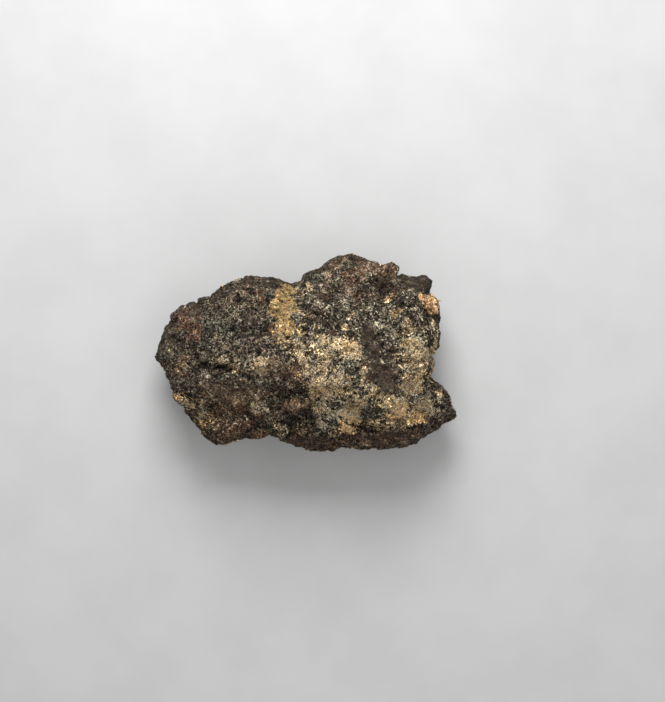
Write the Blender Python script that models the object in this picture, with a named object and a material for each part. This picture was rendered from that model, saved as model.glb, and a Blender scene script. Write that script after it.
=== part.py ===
"""A small broken fragment of a chondrite meteorite, lying on the flat of its underside.

The stone is one natural piece, so it is one object. It is made in four steps:
a cube grid is blown up to a blank with flat facets, the blank gets its dents,
grooves and ledges, then its chipped skin, and the finished skin is thinned to
the few thousand faces that carry its form.

Every dimension below is in millimetres, seen from above with +X to the right
and +Y away. The origin is the middle of the stone's footprint, at its lowest point.
"""

import math

import bmesh
import bpy
import numpy as np
from mathutils import Vector, noise

MM = 0.001

# The driving dimensions: the stone's size along X, Y and Z.
LENGTH = 7.58
WIDTH = 4.95
HEIGHT = 3.30

# The widest outline, from the left tip round over the far side.
OUTLINE = [
    (-3.79, -0.13),
    (-3.71, 0.18),
    (-3.56, 0.55),
    (-3.36, 0.93),
    (-3.16, 1.18),
    (-2.81, 1.25),
    (-2.46, 1.45),
    (-2.09, 1.70),
    (-1.74, 1.88),
    (-1.09, 1.91),
    (-0.64, 1.85),
    (-0.34, 1.75),
    (-0.16, 1.80),
    (-0.04, 1.95),
    (0.36, 2.15),
    (0.74, 2.40),
    (1.14, 2.48),
    (1.41, 2.40),
    (1.66, 2.28),
    (1.90, 2.23),
    (2.16, 2.25),
    (2.29, 2.15),
    (2.36, 2.00),
    (2.74, 1.95),
    (3.01, 1.92),
    (3.16, 1.76),
    (3.11, 1.53),
    (3.29, 1.33),
    (3.37, 1.03),
    (3.37, 0.50),
    (3.32, 0.18),
    (3.19, 0.00),
    (3.21, -0.30),
    (3.16, -0.50),
    (3.22, -0.70),
    (3.52, -0.98),
    (3.66, -1.25),
    (3.79, -1.50),
    (3.79, -1.61),
    (3.41, -1.88),
    (3.11, -2.08),
    (2.91, -2.20),
    (2.61, -2.35),
    (2.31, -2.41),
    (0.91, -2.38),
    (0.66, -2.45),
    (0.31, -2.48),
    (-0.09, -2.40),
    (-0.46, -2.28),
    (-0.71, -2.13),
    (-0.94, -2.10),
    (-1.64, -2.20),
    (-2.09, -2.33),
    (-2.31, -2.30),
    (-2.51, -2.15),
    (-2.64, -1.95),
    (-2.89, -1.65),
    (-3.14, -1.33),
    (-3.31, -1.15),
    (-3.34, -0.90),
    (-3.54, -0.45),
]

# The point that every radius of the blank is measured from.
CORE = np.array((0.0, -0.1, 1.55))

# Facets that start at the outline: the way they face round the stone, how far
# they lean up or down in degrees, and the height at which they leave the outline.
SHOULDERS = [
    (90, 42, 1.45),
    (55, 34, 1.75),
    (20, 30, 1.85),
    (-12, 38, 1.75),
    (-40, 34, 1.45),
    (-88, 30, 1.35),
    (-128, 34, 1.30),
    (176, 34, 1.50),
    (138, 40, 1.55),
    (92, -34, 1.05),
    (48, -38, 1.15),
    (4, -34, 1.10),
    (-45, -40, 0.95),
    (-92, -36, 0.95),
    (-135, -40, 0.90),
    (182, -36, 1.05),
    (140, -34, 1.00),
]

# Facets of the crown and the underside: the way they face, how far they lean
# up or down, and a point that they pass through.
FACETS = [
    (70, 80, (0.9, 0.0, 3.20)),
    (8, 66, (2.3, 0.2, 2.85)),
    (122, 66, (-1.2, 0.3, 3.00)),
    (168, 50, (-2.7, 0.2, 2.35)),
    (-106, 50, (-1.8, -0.8, 2.75)),
    (-84, 60, (1.4, -1.3, 2.95)),
    (-30, 56, (3.0, -1.2, 2.20)),
    (84, 58, (1.4, 1.6, 2.75)),
    (0, -90, (0.0, 0.0, 0.0)),
    (16, -70, (1.9, 0.0, 0.22)),
    (196, -68, (-1.8, 0.0, 0.20)),
    (106, -64, (0.0, 1.35, 0.25)),
    (-72, -66, (0.4, -1.35, 0.20)),
    (-146, -58, (-2.2, -1.1, 0.55)),
]

# How crisp the edges between facets are: 8 is a pebble, 60 a cut gem.
CRISPNESS = 46.0

# The sides bulge like a barrel's: the slope, seen from the core, at which they
# stand out furthest, and how fast they fall back above and below it. The
# outline's notches fade within this much slope, into a mean over these degrees.
BARREL_SLOPE = -0.12
BARREL = 0.55
NOTCH_SLOPE = 0.45
NOTCH_DEGREES = (-16, -8, 0, 8, 16)
SMALLEST_LEVEL = 1e-6

# The crown's large relief, in plan. A ledge is a line with the low ground on its
# right, the drop in height, and how far from the line the low ground reaches.
# The fall starts and ends this far left and right of the line.
LEDGE_FALL = (-0.04, 0.10)
LEDGES = {
    "crusted block over the yellow hollow": (
        [(-0.72, 2.10), (-0.86, 1.68), (-0.98, 1.30), (-0.98, 0.70), (-1.12, 0.30)],
        0.18,
        0.70,
    ),
    "plateau over the brown slope": (
        [(3.9, -1.62), (3.10, -1.78), (2.36, -1.84), (1.60, -1.78), (0.95, -1.90)],
        0.16,
        0.40,
    ),
    "shelf over the dark recess": (
        [(0.30, -1.45), (0.22, -1.05), (-0.30, -0.86), (-1.05, -0.72), (-1.90, -0.66)],
        0.20,
        0.36,
    ),
    "left shelf": (
        [(-1.90, -0.66), (-2.45, -0.52), (-2.85, -0.72), (-3.35, -0.80)],
        0.13,
        0.34,
    ),
    "ear at the far corner": (
        [(3.20, 1.52), (2.80, 1.46), (2.45, 1.62), (2.30, 1.95)],
        0.12,
        0.45,
    ),
}

# A groove is a line, its half width and its depth.
GROOVES = {
    "valley below the far notch": (
        [(-0.30, 2.00), (-0.42, 1.60), (-0.55, 1.10), (-0.52, 0.45)],
        0.26,
        0.14,
    ),
    "open crack at the left": (
        [(-2.86, 0.02), (-2.76, -0.34), (-2.40, -0.30), (-1.95, -0.26)],
        0.10,
        0.16,
    ),
    "seam across the crusted block": (
        [(-2.10, 0.40), (-1.65, 0.58), (-1.20, 0.60), (-0.95, 0.45)],
        0.09,
        0.08,
    ),
    "diagonal seam on the right": (
        [(2.35, 1.25), (2.85, 0.98), (3.35, 0.86)],
        0.08,
        0.09,
    ),
}

# A dent is its middle, its two radii, its turn in degrees and its depth.
# A bump has a negative depth. Flatness is 1 for a round bottom, 3 for a flat one.
DENT_FLATNESS = 1.5
DENTS = {
    "dark pit behind the far lobe": (1.88, 1.72, 0.46, 0.28, -12, 0.34),
    "dark recess": (-0.45, -1.08, 0.62, 0.20, -14, 0.16),
    "hollow under the recess": (-0.15, -1.68, 0.46, 0.20, -6, 0.15),
    "lens in the recess": (-0.12, -1.30, 0.30, 0.12, 10, -0.16),
    "smooth dark hollow": (1.95, -0.42, 0.46, 0.66, 8, 0.10),
    "red hollow": (-2.88, 0.72, 0.34, 0.30, 0, 0.10),
    "far lobe": (1.10, 2.05, 0.50, 0.30, 0, -0.10),
    "knob beside the pit": (2.12, 2.10, 0.20, 0.16, 0, -0.12),
    "left cheek": (-3.20, 0.05, 0.30, 0.40, 0, -0.06),
    "brown slope hollow": (-1.95, -1.25, 0.50, 0.32, 15, 0.10),
    "near left foot": (-2.20, -1.95, 0.42, 0.26, 0, -0.10),
    "right foot": (3.20, -1.30, 0.35, 0.35, 0, -0.08),
    "hole over the near edge": (1.36, -1.98, 0.13, 0.10, 0, 0.12),
    "grainy rise": (0.75, -0.10, 0.80, 0.60, 0, -0.06),
}

# The underside's dents, in plan as well.
UNDERSIDE_DENTS = {
    "scoop under the right end": (2.60, 0.60, 0.70, 0.60, 20, 0.16),
    "scoop under the left end": (-2.60, -0.30, 0.60, 0.80, 0, 0.14),
    "near scoop": (-0.60, -1.75, 0.70, 0.30, -8, 0.12),
    "far scoop": (0.40, 1.65, 0.80, 0.35, 12, 0.14),
}

# The relief fades out where the skin turns to the side: how far up or down the
# normal points where the relief starts and where it is whole.
SIDE_FADE = (0.0, 0.4)

# The lines and rims above wander: the size of each wander and how far it goes.
WANDER = [(0.70, 0.20), (0.26, 0.10)]

# Chips are the flat breaks of the skin: their size, how far they tilt, and how
# far they stand in or out of the skin, as shares of their size.
CHIPS = [(1.25, 0.26, 0.09), (0.48, 0.27, 0.13)]

# A chip's worn border, as shares of its size. The seeds pick each chip's tilt
# and its height.
CHIP_BORDER_WIDTH = 0.16
CHIP_BORDER_DEPTH = 0.03
TILT_SEED = 5.3
HEIGHT_SEED = 9.1

# The roughness over the chips: its height, the size of its largest lumps, how
# fast the smaller layers fade, the step in size between layers, and their number.
ROUGHNESS = 0.045
ROUGHNESS_SIZE = 0.55
ROUGHNESS_FADE = 0.8
ROUGHNESS_STEP = 2.2
ROUGHNESS_LAYERS = 4

# How much of the blank's underside is worn away flat, and how far above the
# lowest point the finished stone's seat is still trued to one plane.
SEAT_WEAR = 0.10
SEAT_TRUING = 0.010

# The rim is measured in this many sectors when it is brought to the outline.
# What lies inside the first share of the rim's reach stays where it is, and
# what lies beyond the second share moves with the rim.
SECTORS = 120
RIM_ZONE = (0.80, 0.98)

# The stone starts as a cube with this many faces along each edge.
GRID = 72
FACE_BUDGET = 9000

# The seed of the noise that the wander and the chips are drawn from.
SEED = 4


def smooth_step(low, high, value):
    """0 below low, 1 above high, and a soft rise between them."""
    t = np.clip((value - low) / (high - low), 0, 1)
    return t * t * (3 - 2 * t)


def outline_radius(angle):
    """The outline's distance from the core at each angle round it."""
    points = np.array(OUTLINE) - CORE[:2]
    around = np.arctan2(points[:, 1], points[:, 0])
    order = np.argsort(around)
    reach = np.hypot(points[:, 0], points[:, 1])
    return np.interp(angle, around[order], reach[order], period=2 * math.pi)


def side_radius(angle, above):
    """The side's distance from the core: the outline where above is 0, and further
    up or down a smoother outline that falls back with the square of above."""
    near = [outline_radius(angle + math.radians(turn)) for turn in NOTCH_DEGREES]
    fade = smooth_step(0, NOTCH_SLOPE, np.abs(above))
    mixed = (1 - fade) * outline_radius(angle) + fade * np.mean(near, axis=0)
    return mixed / (1 + BARREL * above**2)


def facing(azimuth, lean):
    """The unit normal of a facet."""
    a = math.radians(azimuth)
    e = math.radians(lean)
    return np.array((math.cos(e) * math.cos(a), math.cos(e) * math.sin(a), math.sin(e)))


def facet_planes():
    """Every facet as its normal and its distance from the core."""
    points = np.array(OUTLINE) - CORE[:2]
    planes = []
    for azimuth, lean, rim in SHOULDERS:
        normal = facing(azimuth, lean)
        reach = (points @ normal[:2]).max()
        planes.append((normal, reach + normal[2] * (rim - CORE[2])))
    for azimuth, lean, through in FACETS:
        normal = facing(azimuth, lean)
        planes.append((normal, (np.array(through) - CORE) @ normal))
    return planes


def blank_radius(direction):
    """The blank's radius along each direction: a soft minimum of the distances to
    the bulging side that touches the outline and to every facet."""
    level = np.hypot(direction[:, 0], direction[:, 1])
    angle = np.arctan2(direction[:, 1], direction[:, 0])
    slope = direction[:, 2] / np.maximum(level, SMALLEST_LEVEL)
    above = np.clip(slope, -1, 1) - BARREL_SLOPE
    total = (level / side_radius(angle, above)) ** CRISPNESS
    for normal, distance in facet_planes():
        total += (np.clip(direction @ normal, 0, None) / distance) ** CRISPNESS
    return total ** (-1 / CRISPNESS)


def to_line(plan, line):
    """Each plan point's distance from a line of straight runs, with a sign that
    is positive on the line's right."""
    line = np.array(line)
    nearest = np.full(len(plan), np.inf)
    signed = np.zeros(len(plan))
    for start, end in zip(line[:-1], line[1:]):
        run = end - start
        offset = plan - start
        share = np.clip(offset @ run / (run @ run), 0, 1)
        away = np.hypot(*(offset - share[:, None] * run).T)
        right = offset[:, 0] * run[1] - offset[:, 1] * run[0]
        closer = away < nearest
        nearest[closer] = away[closer]
        signed[closer] = (away * np.sign(right))[closer]
    return signed


def ledge_drop(plan, line, drop, reach):
    """The ground falls sharply right of the line and climbs back over its reach."""
    signed = to_line(plan, line)
    return -drop * smooth_step(*LEDGE_FALL, signed) * np.exp(-np.abs(signed) / reach)


def groove_drop(plan, line, half_width, depth):
    """A round-bottomed groove along the line."""
    return -depth * np.exp(-((to_line(plan, line) / half_width) ** 2))


def dent_drop(plan, x, y, radius_x, radius_y, turn, depth):
    """A round-bottomed dent, or a bump where the depth is negative."""
    a = math.radians(turn)
    u = (plan[:, 0] - x) * math.cos(a) + (plan[:, 1] - y) * math.sin(a)
    v = (plan[:, 1] - y) * math.cos(a) - (plan[:, 0] - x) * math.sin(a)
    away = (u / radius_x) ** 2 + (v / radius_y) ** 2
    return -depth * np.exp(-(away**DENT_FLATNESS))


def wandering(points):
    """The points' plan, shifted by noise, so that no line or rim runs smoothly."""
    shift = np.zeros((len(points), 3))
    for size, reach in WANDER:
        places = [Vector(point) / size for point in points]
        shift += reach * np.array([noise.noise_vector(place) for place in places])
    return points[:, :2] + shift[:, :2]


def relief(points, normals):
    """How far the large relief moves each point along its normal."""
    plan = wandering(points)
    crown = np.zeros(len(points))
    for line, drop, reach in LEDGES.values():
        crown += ledge_drop(plan, line, drop, reach)
    for line, half_width, depth in GROOVES.values():
        crown += groove_drop(plan, line, half_width, depth)
    for dent in DENTS.values():
        crown += dent_drop(plan, *dent)
    underside = sum(dent_drop(plan, *dent) for dent in UNDERSIDE_DENTS.values())
    up = normals[:, 2]
    return crown * smooth_step(*SIDE_FADE, up) + underside * smooth_step(*SIDE_FADE, -up)


def chipped(point):
    """How far the chips and the roughness move one point of the skin."""
    lumps = noise.fractal(point / ROUGHNESS_SIZE, ROUGHNESS_FADE, ROUGHNESS_STEP, ROUGHNESS_LAYERS)
    moved = ROUGHNESS * lumps
    for size, tilt, stagger in CHIPS:
        place_in_cells = point / size
        distances, cells = noise.voronoi(place_in_cells)
        chip = cells[0]
        slope = noise.noise_vector(chip * TILT_SEED)
        flat = tilt * slope.dot(place_in_cells - chip)
        flat += stagger * noise.noise(chip * HEIGHT_SEED)
        inside = min(1.0, (distances[1] - distances[0]) / CHIP_BORDER_WIDTH)
        moved += size * (flat * inside - CHIP_BORDER_DEPTH * (1 - inside))
    return moved


def trued(points):
    """Brings the chipped stone's rim back to the outline, and leaves what lies
    well inside the rim where it is."""
    plan = points[:, :2] - CORE[:2]
    angle = np.arctan2(plan[:, 1], plan[:, 0])
    reach = np.hypot(plan[:, 0], plan[:, 1])
    sector = ((angle + math.pi) / (2 * math.pi) * SECTORS).astype(int) % SECTORS
    rim = np.zeros(SECTORS)
    np.maximum.at(rim, sector, reach)
    middles = (np.arange(SECTORS) + 0.5) / SECTORS * 2 * math.pi - math.pi
    rim_here = np.interp(angle, middles, rim, period=2 * math.pi)
    near_rim = smooth_step(*RIM_ZONE, reach / rim_here)
    stretch = 1 + (outline_radius(angle) / rim_here - 1) * near_rim
    trued_points = points.copy()
    trued_points[:, :2] = CORE[:2] + plan * stretch[:, None]
    return trued_points


def grid_cube():
    """A cube whose sides are square grids, in the stone's proportions."""
    grid = bmesh.new()
    bmesh.ops.create_cube(grid, size=1.0)
    bmesh.ops.subdivide_edges(
        grid, edges=grid.edges[:], cuts=GRID - 1, use_grid_fill=True
    )
    bmesh.ops.scale(grid, vec=(LENGTH, WIDTH, HEIGHT), verts=grid.verts[:])
    return grid


def read(grid):
    """The grid's points and normals as two arrays."""
    grid.normal_update()
    points = np.array([vertex.co for vertex in grid.verts])
    normals = np.array([vertex.normal for vertex in grid.verts])
    return points, normals


def place(grid, points):
    """Moves the grid's vertices to these points."""
    for vertex, point in zip(grid.verts, points):
        vertex.co = point


def carve(grid):
    """Turns the cube into the stone: blank, relief, chipped skin and flat seat."""
    points, _ = read(grid)
    direction = points / np.linalg.norm(points, axis=1)[:, None]
    place(grid, CORE + direction * blank_radius(direction)[:, None])
    points, normals = read(grid)
    place(grid, points + normals * relief(points, normals)[:, None])
    points, normals = read(grid)
    skin = np.array([chipped(Vector(point)) for point in points])
    points = trued(points + normals * skin[:, None])
    points[:, 2] = np.maximum(points[:, 2], SEAT_WEAR)
    place(grid, points)


def thinned(stone):
    """The stone's mesh with the face budget, most of them where the form turns."""
    modifier = stone.modifiers.new("thin", "DECIMATE")
    modifier.ratio = FACE_BUDGET / (2 * len(stone.data.polygons))
    bpy.context.view_layer.update()
    evaluated = stone.evaluated_get(bpy.context.evaluated_depsgraph_get())
    mesh = bpy.data.meshes.new_from_object(evaluated)
    stone.modifiers.clear()
    return mesh


def fit(mesh):
    """Brings the stone to its size in metres, over the origin, on its seat."""
    points = np.array([vertex.co for vertex in mesh.vertices])
    low, high = points.min(axis=0), points.max(axis=0)
    share = (points - low) / (high - low)
    size = np.array((LENGTH, WIDTH, HEIGHT))
    points = share * size - size * (0.5, 0.5, 0.0)
    points[points[:, 2] < SEAT_TRUING, 2] = 0.0
    mesh.vertices.foreach_set("co", (points * MM).ravel())
    mesh.update()


def stone_material():
    """Dark, rough, weathered chondrite."""
    material = bpy.data.materials.new("weathered_chondrite")
    material.use_nodes = True
    shader = material.node_tree.nodes["Principled BSDF"]
    shader.inputs["Base Color"].default_value = (0.085, 0.065, 0.045, 1.0)
    shader.inputs["Roughness"].default_value = 0.85
    shader.inputs["Metallic"].default_value = 0.0
    return material


def build_stone(collection):
    """The stone as a mesh object in the collection."""
    noise.seed_set(SEED)
    grid = grid_cube()
    carve(grid)
    mesh = bpy.data.meshes.new("stone")
    grid.to_mesh(mesh)
    grid.free()
    stone = bpy.data.objects.new("stone", mesh)
    collection.objects.link(stone)
    stone.data = thinned(stone)
    fit(stone.data)
    stone.data.materials.append(stone_material())
    return stone


def main():
    for obj in list(bpy.data.objects):
        bpy.data.objects.remove(obj)
    collection = bpy.data.collections.new("chondrite_meteorite")
    bpy.context.scene.collection.children.link(collection)
    build_stone(collection)


if __name__ == "__main__":
    main()
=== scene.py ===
"""The looks of a small weathered chondrite fragment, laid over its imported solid.

The skin is one closed surface of grid faces that takes the place of the packed
stone. The mineral grains are loose crumbs of several colours that sit in it.
Lengths are in millimetres, seen from above with +X to the right and +Y away,
and turn to metres where a mesh or an object is made. Only the settings, which
Blender shows in its own units, hold metres.
"""

import math

import bmesh
import bpy
import numpy as np
from mathutils import Matrix, Vector


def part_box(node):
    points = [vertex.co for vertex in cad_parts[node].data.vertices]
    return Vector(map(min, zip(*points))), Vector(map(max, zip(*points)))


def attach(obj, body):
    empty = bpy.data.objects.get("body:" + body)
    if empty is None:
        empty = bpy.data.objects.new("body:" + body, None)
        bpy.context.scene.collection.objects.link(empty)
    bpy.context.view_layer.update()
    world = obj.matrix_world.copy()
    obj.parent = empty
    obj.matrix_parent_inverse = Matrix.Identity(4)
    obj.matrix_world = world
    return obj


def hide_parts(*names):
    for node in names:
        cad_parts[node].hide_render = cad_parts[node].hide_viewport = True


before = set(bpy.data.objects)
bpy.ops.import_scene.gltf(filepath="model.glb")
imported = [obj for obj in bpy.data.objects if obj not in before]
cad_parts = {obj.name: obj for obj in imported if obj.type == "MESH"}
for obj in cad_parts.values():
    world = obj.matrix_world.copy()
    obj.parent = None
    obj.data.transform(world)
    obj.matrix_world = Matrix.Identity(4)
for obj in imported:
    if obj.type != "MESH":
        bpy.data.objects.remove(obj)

bl_info = {
    "name": "Chondrite Meteorite",
    "version": (1, 0, 0),
    "blender": (4, 5, 0),
    "location": "View3D > Sidebar > Meteorite",
    "description": "A weathered chondrite fragment with its mineral grains, on a pale floor",
    "category": "Add Mesh",
}

MM = 0.001

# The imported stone's box, its middle and its half sizes.
LOW, HIGH = (np.array(corner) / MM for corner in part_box("stone"))
MIDDLE = (LOW + HIGH) / 2
HALF = (HIGH - LOW) / 2

# The point inside the stone that the skin's grid looks out from.
CORE = np.array((0.0, -0.1, 1.55))

# Stains and painted shade of the crown, one table for each colour. Each has its
# middle's x and y, its radii along and across, its turn in degrees and its
# strength: 1 covers most of the ground in its middle, and more leaves fewer gaps
# and reaches further out.
# On the near slopes, which face away from the key light, some strengths are raised to lighten them, as at
# the near island, the drop's tail and the near band: partly the stone's own colour, partly painted light in
# place of light thrown back on them.
MUSTARD = {
    "yellow hollow, far": (-0.50, 1.42, 0.22, 0.20, 0, 1.5),
    "yellow hollow, middle": (-0.51, 1.12, 0.28, 0.34, 0, 2.0),
    "yellow hollow, near": (-0.50, 0.70, 0.27, 0.24, 0, 1.4),
    "far end of the right field": (2.52, 0.24, 0.16, 0.10, 0, 1.0),
    "yellow lip": (2.58, -0.80, 0.26, 0.12, 10, 1.6),
    "middle of the near field": (1.22, -1.34, 0.22, 0.18, 0, 1.0),
    "cream corner of the dark hollow": (1.72, -0.90, 0.13, 0.07, -40, 1.0),
    "right of the tan island": (2.98, -0.08, 0.13, 0.10, 0, 0.9),
    "upright by the groove": (2.26, 0.92, 0.09, 0.15, 0, 1.2),
    "left rim": (-2.78, -1.33, 0.12, 0.10, -40, 0.9),
    "ochre ground's halo": (2.52, -1.42, 0.46, 0.24, -6, 0.7),
}
TAN = {
    "under the yellow hollow": (-0.50, 0.34, 0.30, 0.14, -10, 0.9),
    "tongue": (-0.11, 0.06, 0.14, 0.28, 20, 1.5),
    "tongue's tip": (0.12, -0.44, 0.13, 0.22, 20, 0.9),
    "far island": (0.38, 0.30, 0.24, 0.12, 15, 1.2),
    "middle island": (0.42, -0.20, 0.17, 0.24, 0, 2.0),
    "large island": (1.04, 0.14, 0.28, 0.22, -14, 1.7),
    "large island's near side": (1.16, -0.10, 0.18, 0.10, 0, 0.6),
    "near island": (0.42, -0.86, 0.26, 0.26, 0, 2.0),
    "pale threads in the middle": (0.78, -0.62, 0.26, 0.22, 0, 0.55),
    "rim of the dark hollow": (1.46, -0.62, 0.12, 0.26, 10, 1.4),
    "near field, left stripe": (0.52, -1.46, 0.24, 0.12, -22, 0.9),
    "near field, right": (1.30, -1.10, 0.22, 0.14, 0, 0.6),
    "near field, strip": (0.23, -1.25, 0.07, 0.22, 0, 0.7),
    "right field, far": (2.58, 0.22, 0.26, 0.10, -4, 1.1),
    "right field, middle": (2.78, -0.38, 0.22, 0.28, 10, 1.9),
    "right field, between": (2.84, -0.08, 0.26, 0.18, 0, 1.3),
    "right field, rim": (3.10, -0.44, 0.10, 0.14, 0, 0.8),
    "right field, near": (2.64, -0.70, 0.34, 0.18, 0, 1.7),
    "right field, upper": (2.58, 0.66, 0.16, 0.14, -20, 0.5),
    "over the ochre ground": (2.06, -1.22, 0.30, 0.15, 0, 0.9),
    "cream crumb on the right": (2.95, -1.16, 0.12, 0.08, 0, 0.8),
    "right shoulder": (3.34, -1.00, 0.14, 0.12, 0, 0.7),
    "right edge": (3.18, 0.66, 0.11, 0.13, 0, 0.7),
    "speck behind the large island": (1.08, 0.92, 0.12, 0.11, 0, 0.6),
    "second speck behind the island": (0.98, 0.60, 0.10, 0.12, 0, 0.5),
    "beside the yellow hollow": (-0.14, 1.52, 0.13, 0.24, 0, 0.7),
    "pale disc": (0.09, 1.63, 0.10, 0.09, 0, 0.9),
    "green patch": (0.10, 0.74, 0.12, 0.20, 0, 0.5),
    "under the ear": (2.58, 1.56, 0.10, 0.08, 0, 0.7),
    "crumb on the block": (-1.08, -0.30, 0.14, 0.18, 20, 1.6),
    "second crumb on the block": (-1.67, -0.29, 0.11, 0.08, 0, 0.4),
    "pale spot on the block": (-1.98, -0.18, 0.22, 0.13, 0, 0.3),
    "left rim, far": (-3.08, -1.10, 0.16, 0.10, -38, 0.7),
    "left rim, near": (-2.82, -1.26, 0.16, 0.13, -42, 1.0),
    "cheek": (-3.35, 0.10, 0.11, 0.10, 0, 0.35),
    "left of the open crack": (-3.04, -0.34, 0.14, 0.18, 0, 0.25),
    "strip right of the slope": (-1.19, -1.16, 0.06, 0.20, 0, 1.1),
    "slope, light bench": (-1.72, -1.05, 0.20, 0.11, 0, 0.5),
    "slope's foot": (-2.06, -1.78, 0.14, 0.11, 0, 0.55),
    "olive on the slope": (-2.35, -1.66, 0.14, 0.09, 0, 0.6),
    "near edge, left": (-1.86, -2.14, 0.14, 0.08, 0, 0.3),
    "near edge, far left": (-2.30, -2.12, 0.16, 0.09, -20, 0.3),
    "near edge, strip": (-0.62, -1.84, 0.10, 0.20, 10, 0.9),
    "near edge, ring": (-0.06, -1.86, 0.10, 0.18, 0, 0.7),
    "near edge, crumb": (0.27, -2.18, 0.10, 0.12, 0, 0.7),
    "near edge, green": (0.70, -2.04, 0.20, 0.09, -10, 0.5),
    "over the near band": (1.70, -1.97, 0.12, 0.07, 0, 0.7),
    "corner of the dark hollow": (1.60, -0.96, 0.16, 0.11, -40, 1.1),
    "under the ochre ground": (2.00, -1.78, 0.50, 0.14, 4, 0.8),
    "slope's left side": (-2.62, -1.30, 0.18, 0.22, 20, 0.45),
    "slope's left foot": (-2.52, -1.72, 0.16, 0.16, 0, 0.3),
    "right foot": (3.20, -1.34, 0.24, 0.24, 0, 0.35),
    "middle of the near side": (0.98, -0.92, 0.26, 0.18, 0, 0.9),
    "whole middle": (0.62, -0.35, 0.70, 0.85, 0, 0.30),
    "right of the middle": (2.64, -0.30, 0.42, 0.66, 0, 0.35),
    "right of the ochre ground": (2.84, -1.26, 0.24, 0.14, 0, 1.3),
    "far of the large island": (0.04, 0.66, 0.14, 0.10, 0, 0.6),
    "far end of the tongue": (-0.12, 0.50, 0.13, 0.12, 0, 1.1),
    "right rim": (3.14, -0.16, 0.12, 0.46, 0, 1.6),
    "far of the slope's band": (-1.16, -0.46, 0.40, 0.12, -4, 0.3),
    "left of the field's far end": (2.34, 0.46, 0.14, 0.13, 0, 0.5),
}
OCHRE = {
    "heart of the large island": (1.17, 0.12, 0.16, 0.11, -25, 1.1),
    "second heart of the island": (0.90, 0.18, 0.10, 0.09, 0, 0.8),
    "heart of the near island": (0.40, -0.88, 0.12, 0.12, 0, 1.2),
    "yellow hollow, near": (-0.48, 0.58, 0.26, 0.15, 0, 0.7),
    "yellow hollow, brown corner": (-0.80, 0.56, 0.10, 0.09, 0, 0.7),
    "ochre ground, left": (2.30, -1.44, 0.29, 0.15, 4, 1.9),
    "ochre ground, right": (2.68, -1.54, 0.24, 0.14, -16, 2.2),
    "drop": (1.11, -1.80, 0.17, 0.20, -10, 2.4),
    "tail of the drop": (1.17, -2.02, 0.09, 0.15, 0, 2.2),
    "spot behind the middle": (2.02, 1.31, 0.08, 0.10, 0, 0.45),
    "right field, rim": (3.12, -0.46, 0.07, 0.10, 0, 0.6),
    "left rim": (-3.12, -1.12, 0.14, 0.08, -38, 0.6),
    "brown shelf": (-0.12, -0.54, 0.14, 0.09, -20, 0.4),
    "crumb on the block": (-1.10, -0.20, 0.09, 0.09, 0, 0.7),
    "left rim, near": (-2.60, -1.74, 0.10, 0.18, 40, 0.9),
}
SALMON = {
    "salmon patch, left": (2.88, 1.34, 0.13, 0.09, -20, 1.4),
    "salmon patch, right": (3.13, 1.17, 0.15, 0.20, 20, 1.5),
    "lip of the lens": (-0.20, -1.19, 0.22, 0.035, 8, 0.8),
}
RUST = {
    "red hollow": (-2.92, 0.68, 0.36, 0.32, 0, 0.9),
    "heart of the red hollow": (-2.74, 0.48, 0.20, 0.14, 0, 1.2),
    "far part of the red hollow": (-2.88, 0.80, 0.14, 0.12, 0, 1.0),
    "left of the open crack": (-3.08, -0.34, 0.18, 0.24, 0, 0.9),
    "brown slope, far": (-1.80, -1.00, 0.70, 0.28, -6, 1.3),
    "brown slope": (-1.90, -1.46, 0.86, 0.44, 0, 1.3),
    "brown slope, left": (-2.66, -1.62, 0.30, 0.40, 0, 1.3),
    "brown slope, near": (-1.60, -1.96, 0.66, 0.22, 0, 1.3),
    "lens": (-0.21, -1.30, 0.32, 0.14, 8, 1.9),
    "brown shelf": (-0.38, -0.48, 0.38, 0.20, -6, 0.9),
    "far lobe, inner slope": (1.12, 1.84, 0.20, 0.22, 0, 0.9),
    "far lobe, left edge": (0.62, 2.14, 0.20, 0.14, 30, 0.8),
    "far lobe, ridge": (1.80, 2.20, 0.46, 0.14, -10, 0.8),
    "far lobe, right slope": (2.12, 1.96, 0.16, 0.20, 0, 0.4),
    "purple fold": (0.50, 1.42, 0.22, 0.12, 0, 0.7),
    "behind the large island": (0.62, 0.54, 0.12, 0.08, 0, 0.6),
    "top of the block": (-1.44, 1.70, 0.15, 0.15, 0, 0.8),
    "far edge of the block": (-1.10, 1.36, 0.16, 0.22, 0, 0.5),
    "near band, right": (2.20, -2.10, 0.80, 0.22, 4, 1.4),
    "near band, left": (1.10, -2.20, 0.50, 0.10, 0, 0.6),
    "right edge of the groove": (3.20, 0.90, 0.12, 0.14, 0, 0.6),
    "near edge": (0.10, -2.20, 0.56, 0.18, 0, 1.1),
    "far rise": (1.32, 1.42, 0.20, 0.26, 0, 0.6),
    "slope's near side": (-1.50, -2.04, 0.50, 0.24, 0, 1.0),
    "brown spot by the yellow hollow": (-0.86, 0.52, 0.13, 0.14, 0, 1.2),
    "behind the ochre spot": (2.10, 1.52, 0.20, 0.22, 0, 0.7),
    "recess": (-0.56, -0.84, 0.22, 0.12, 0, 0.8),
}
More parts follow.
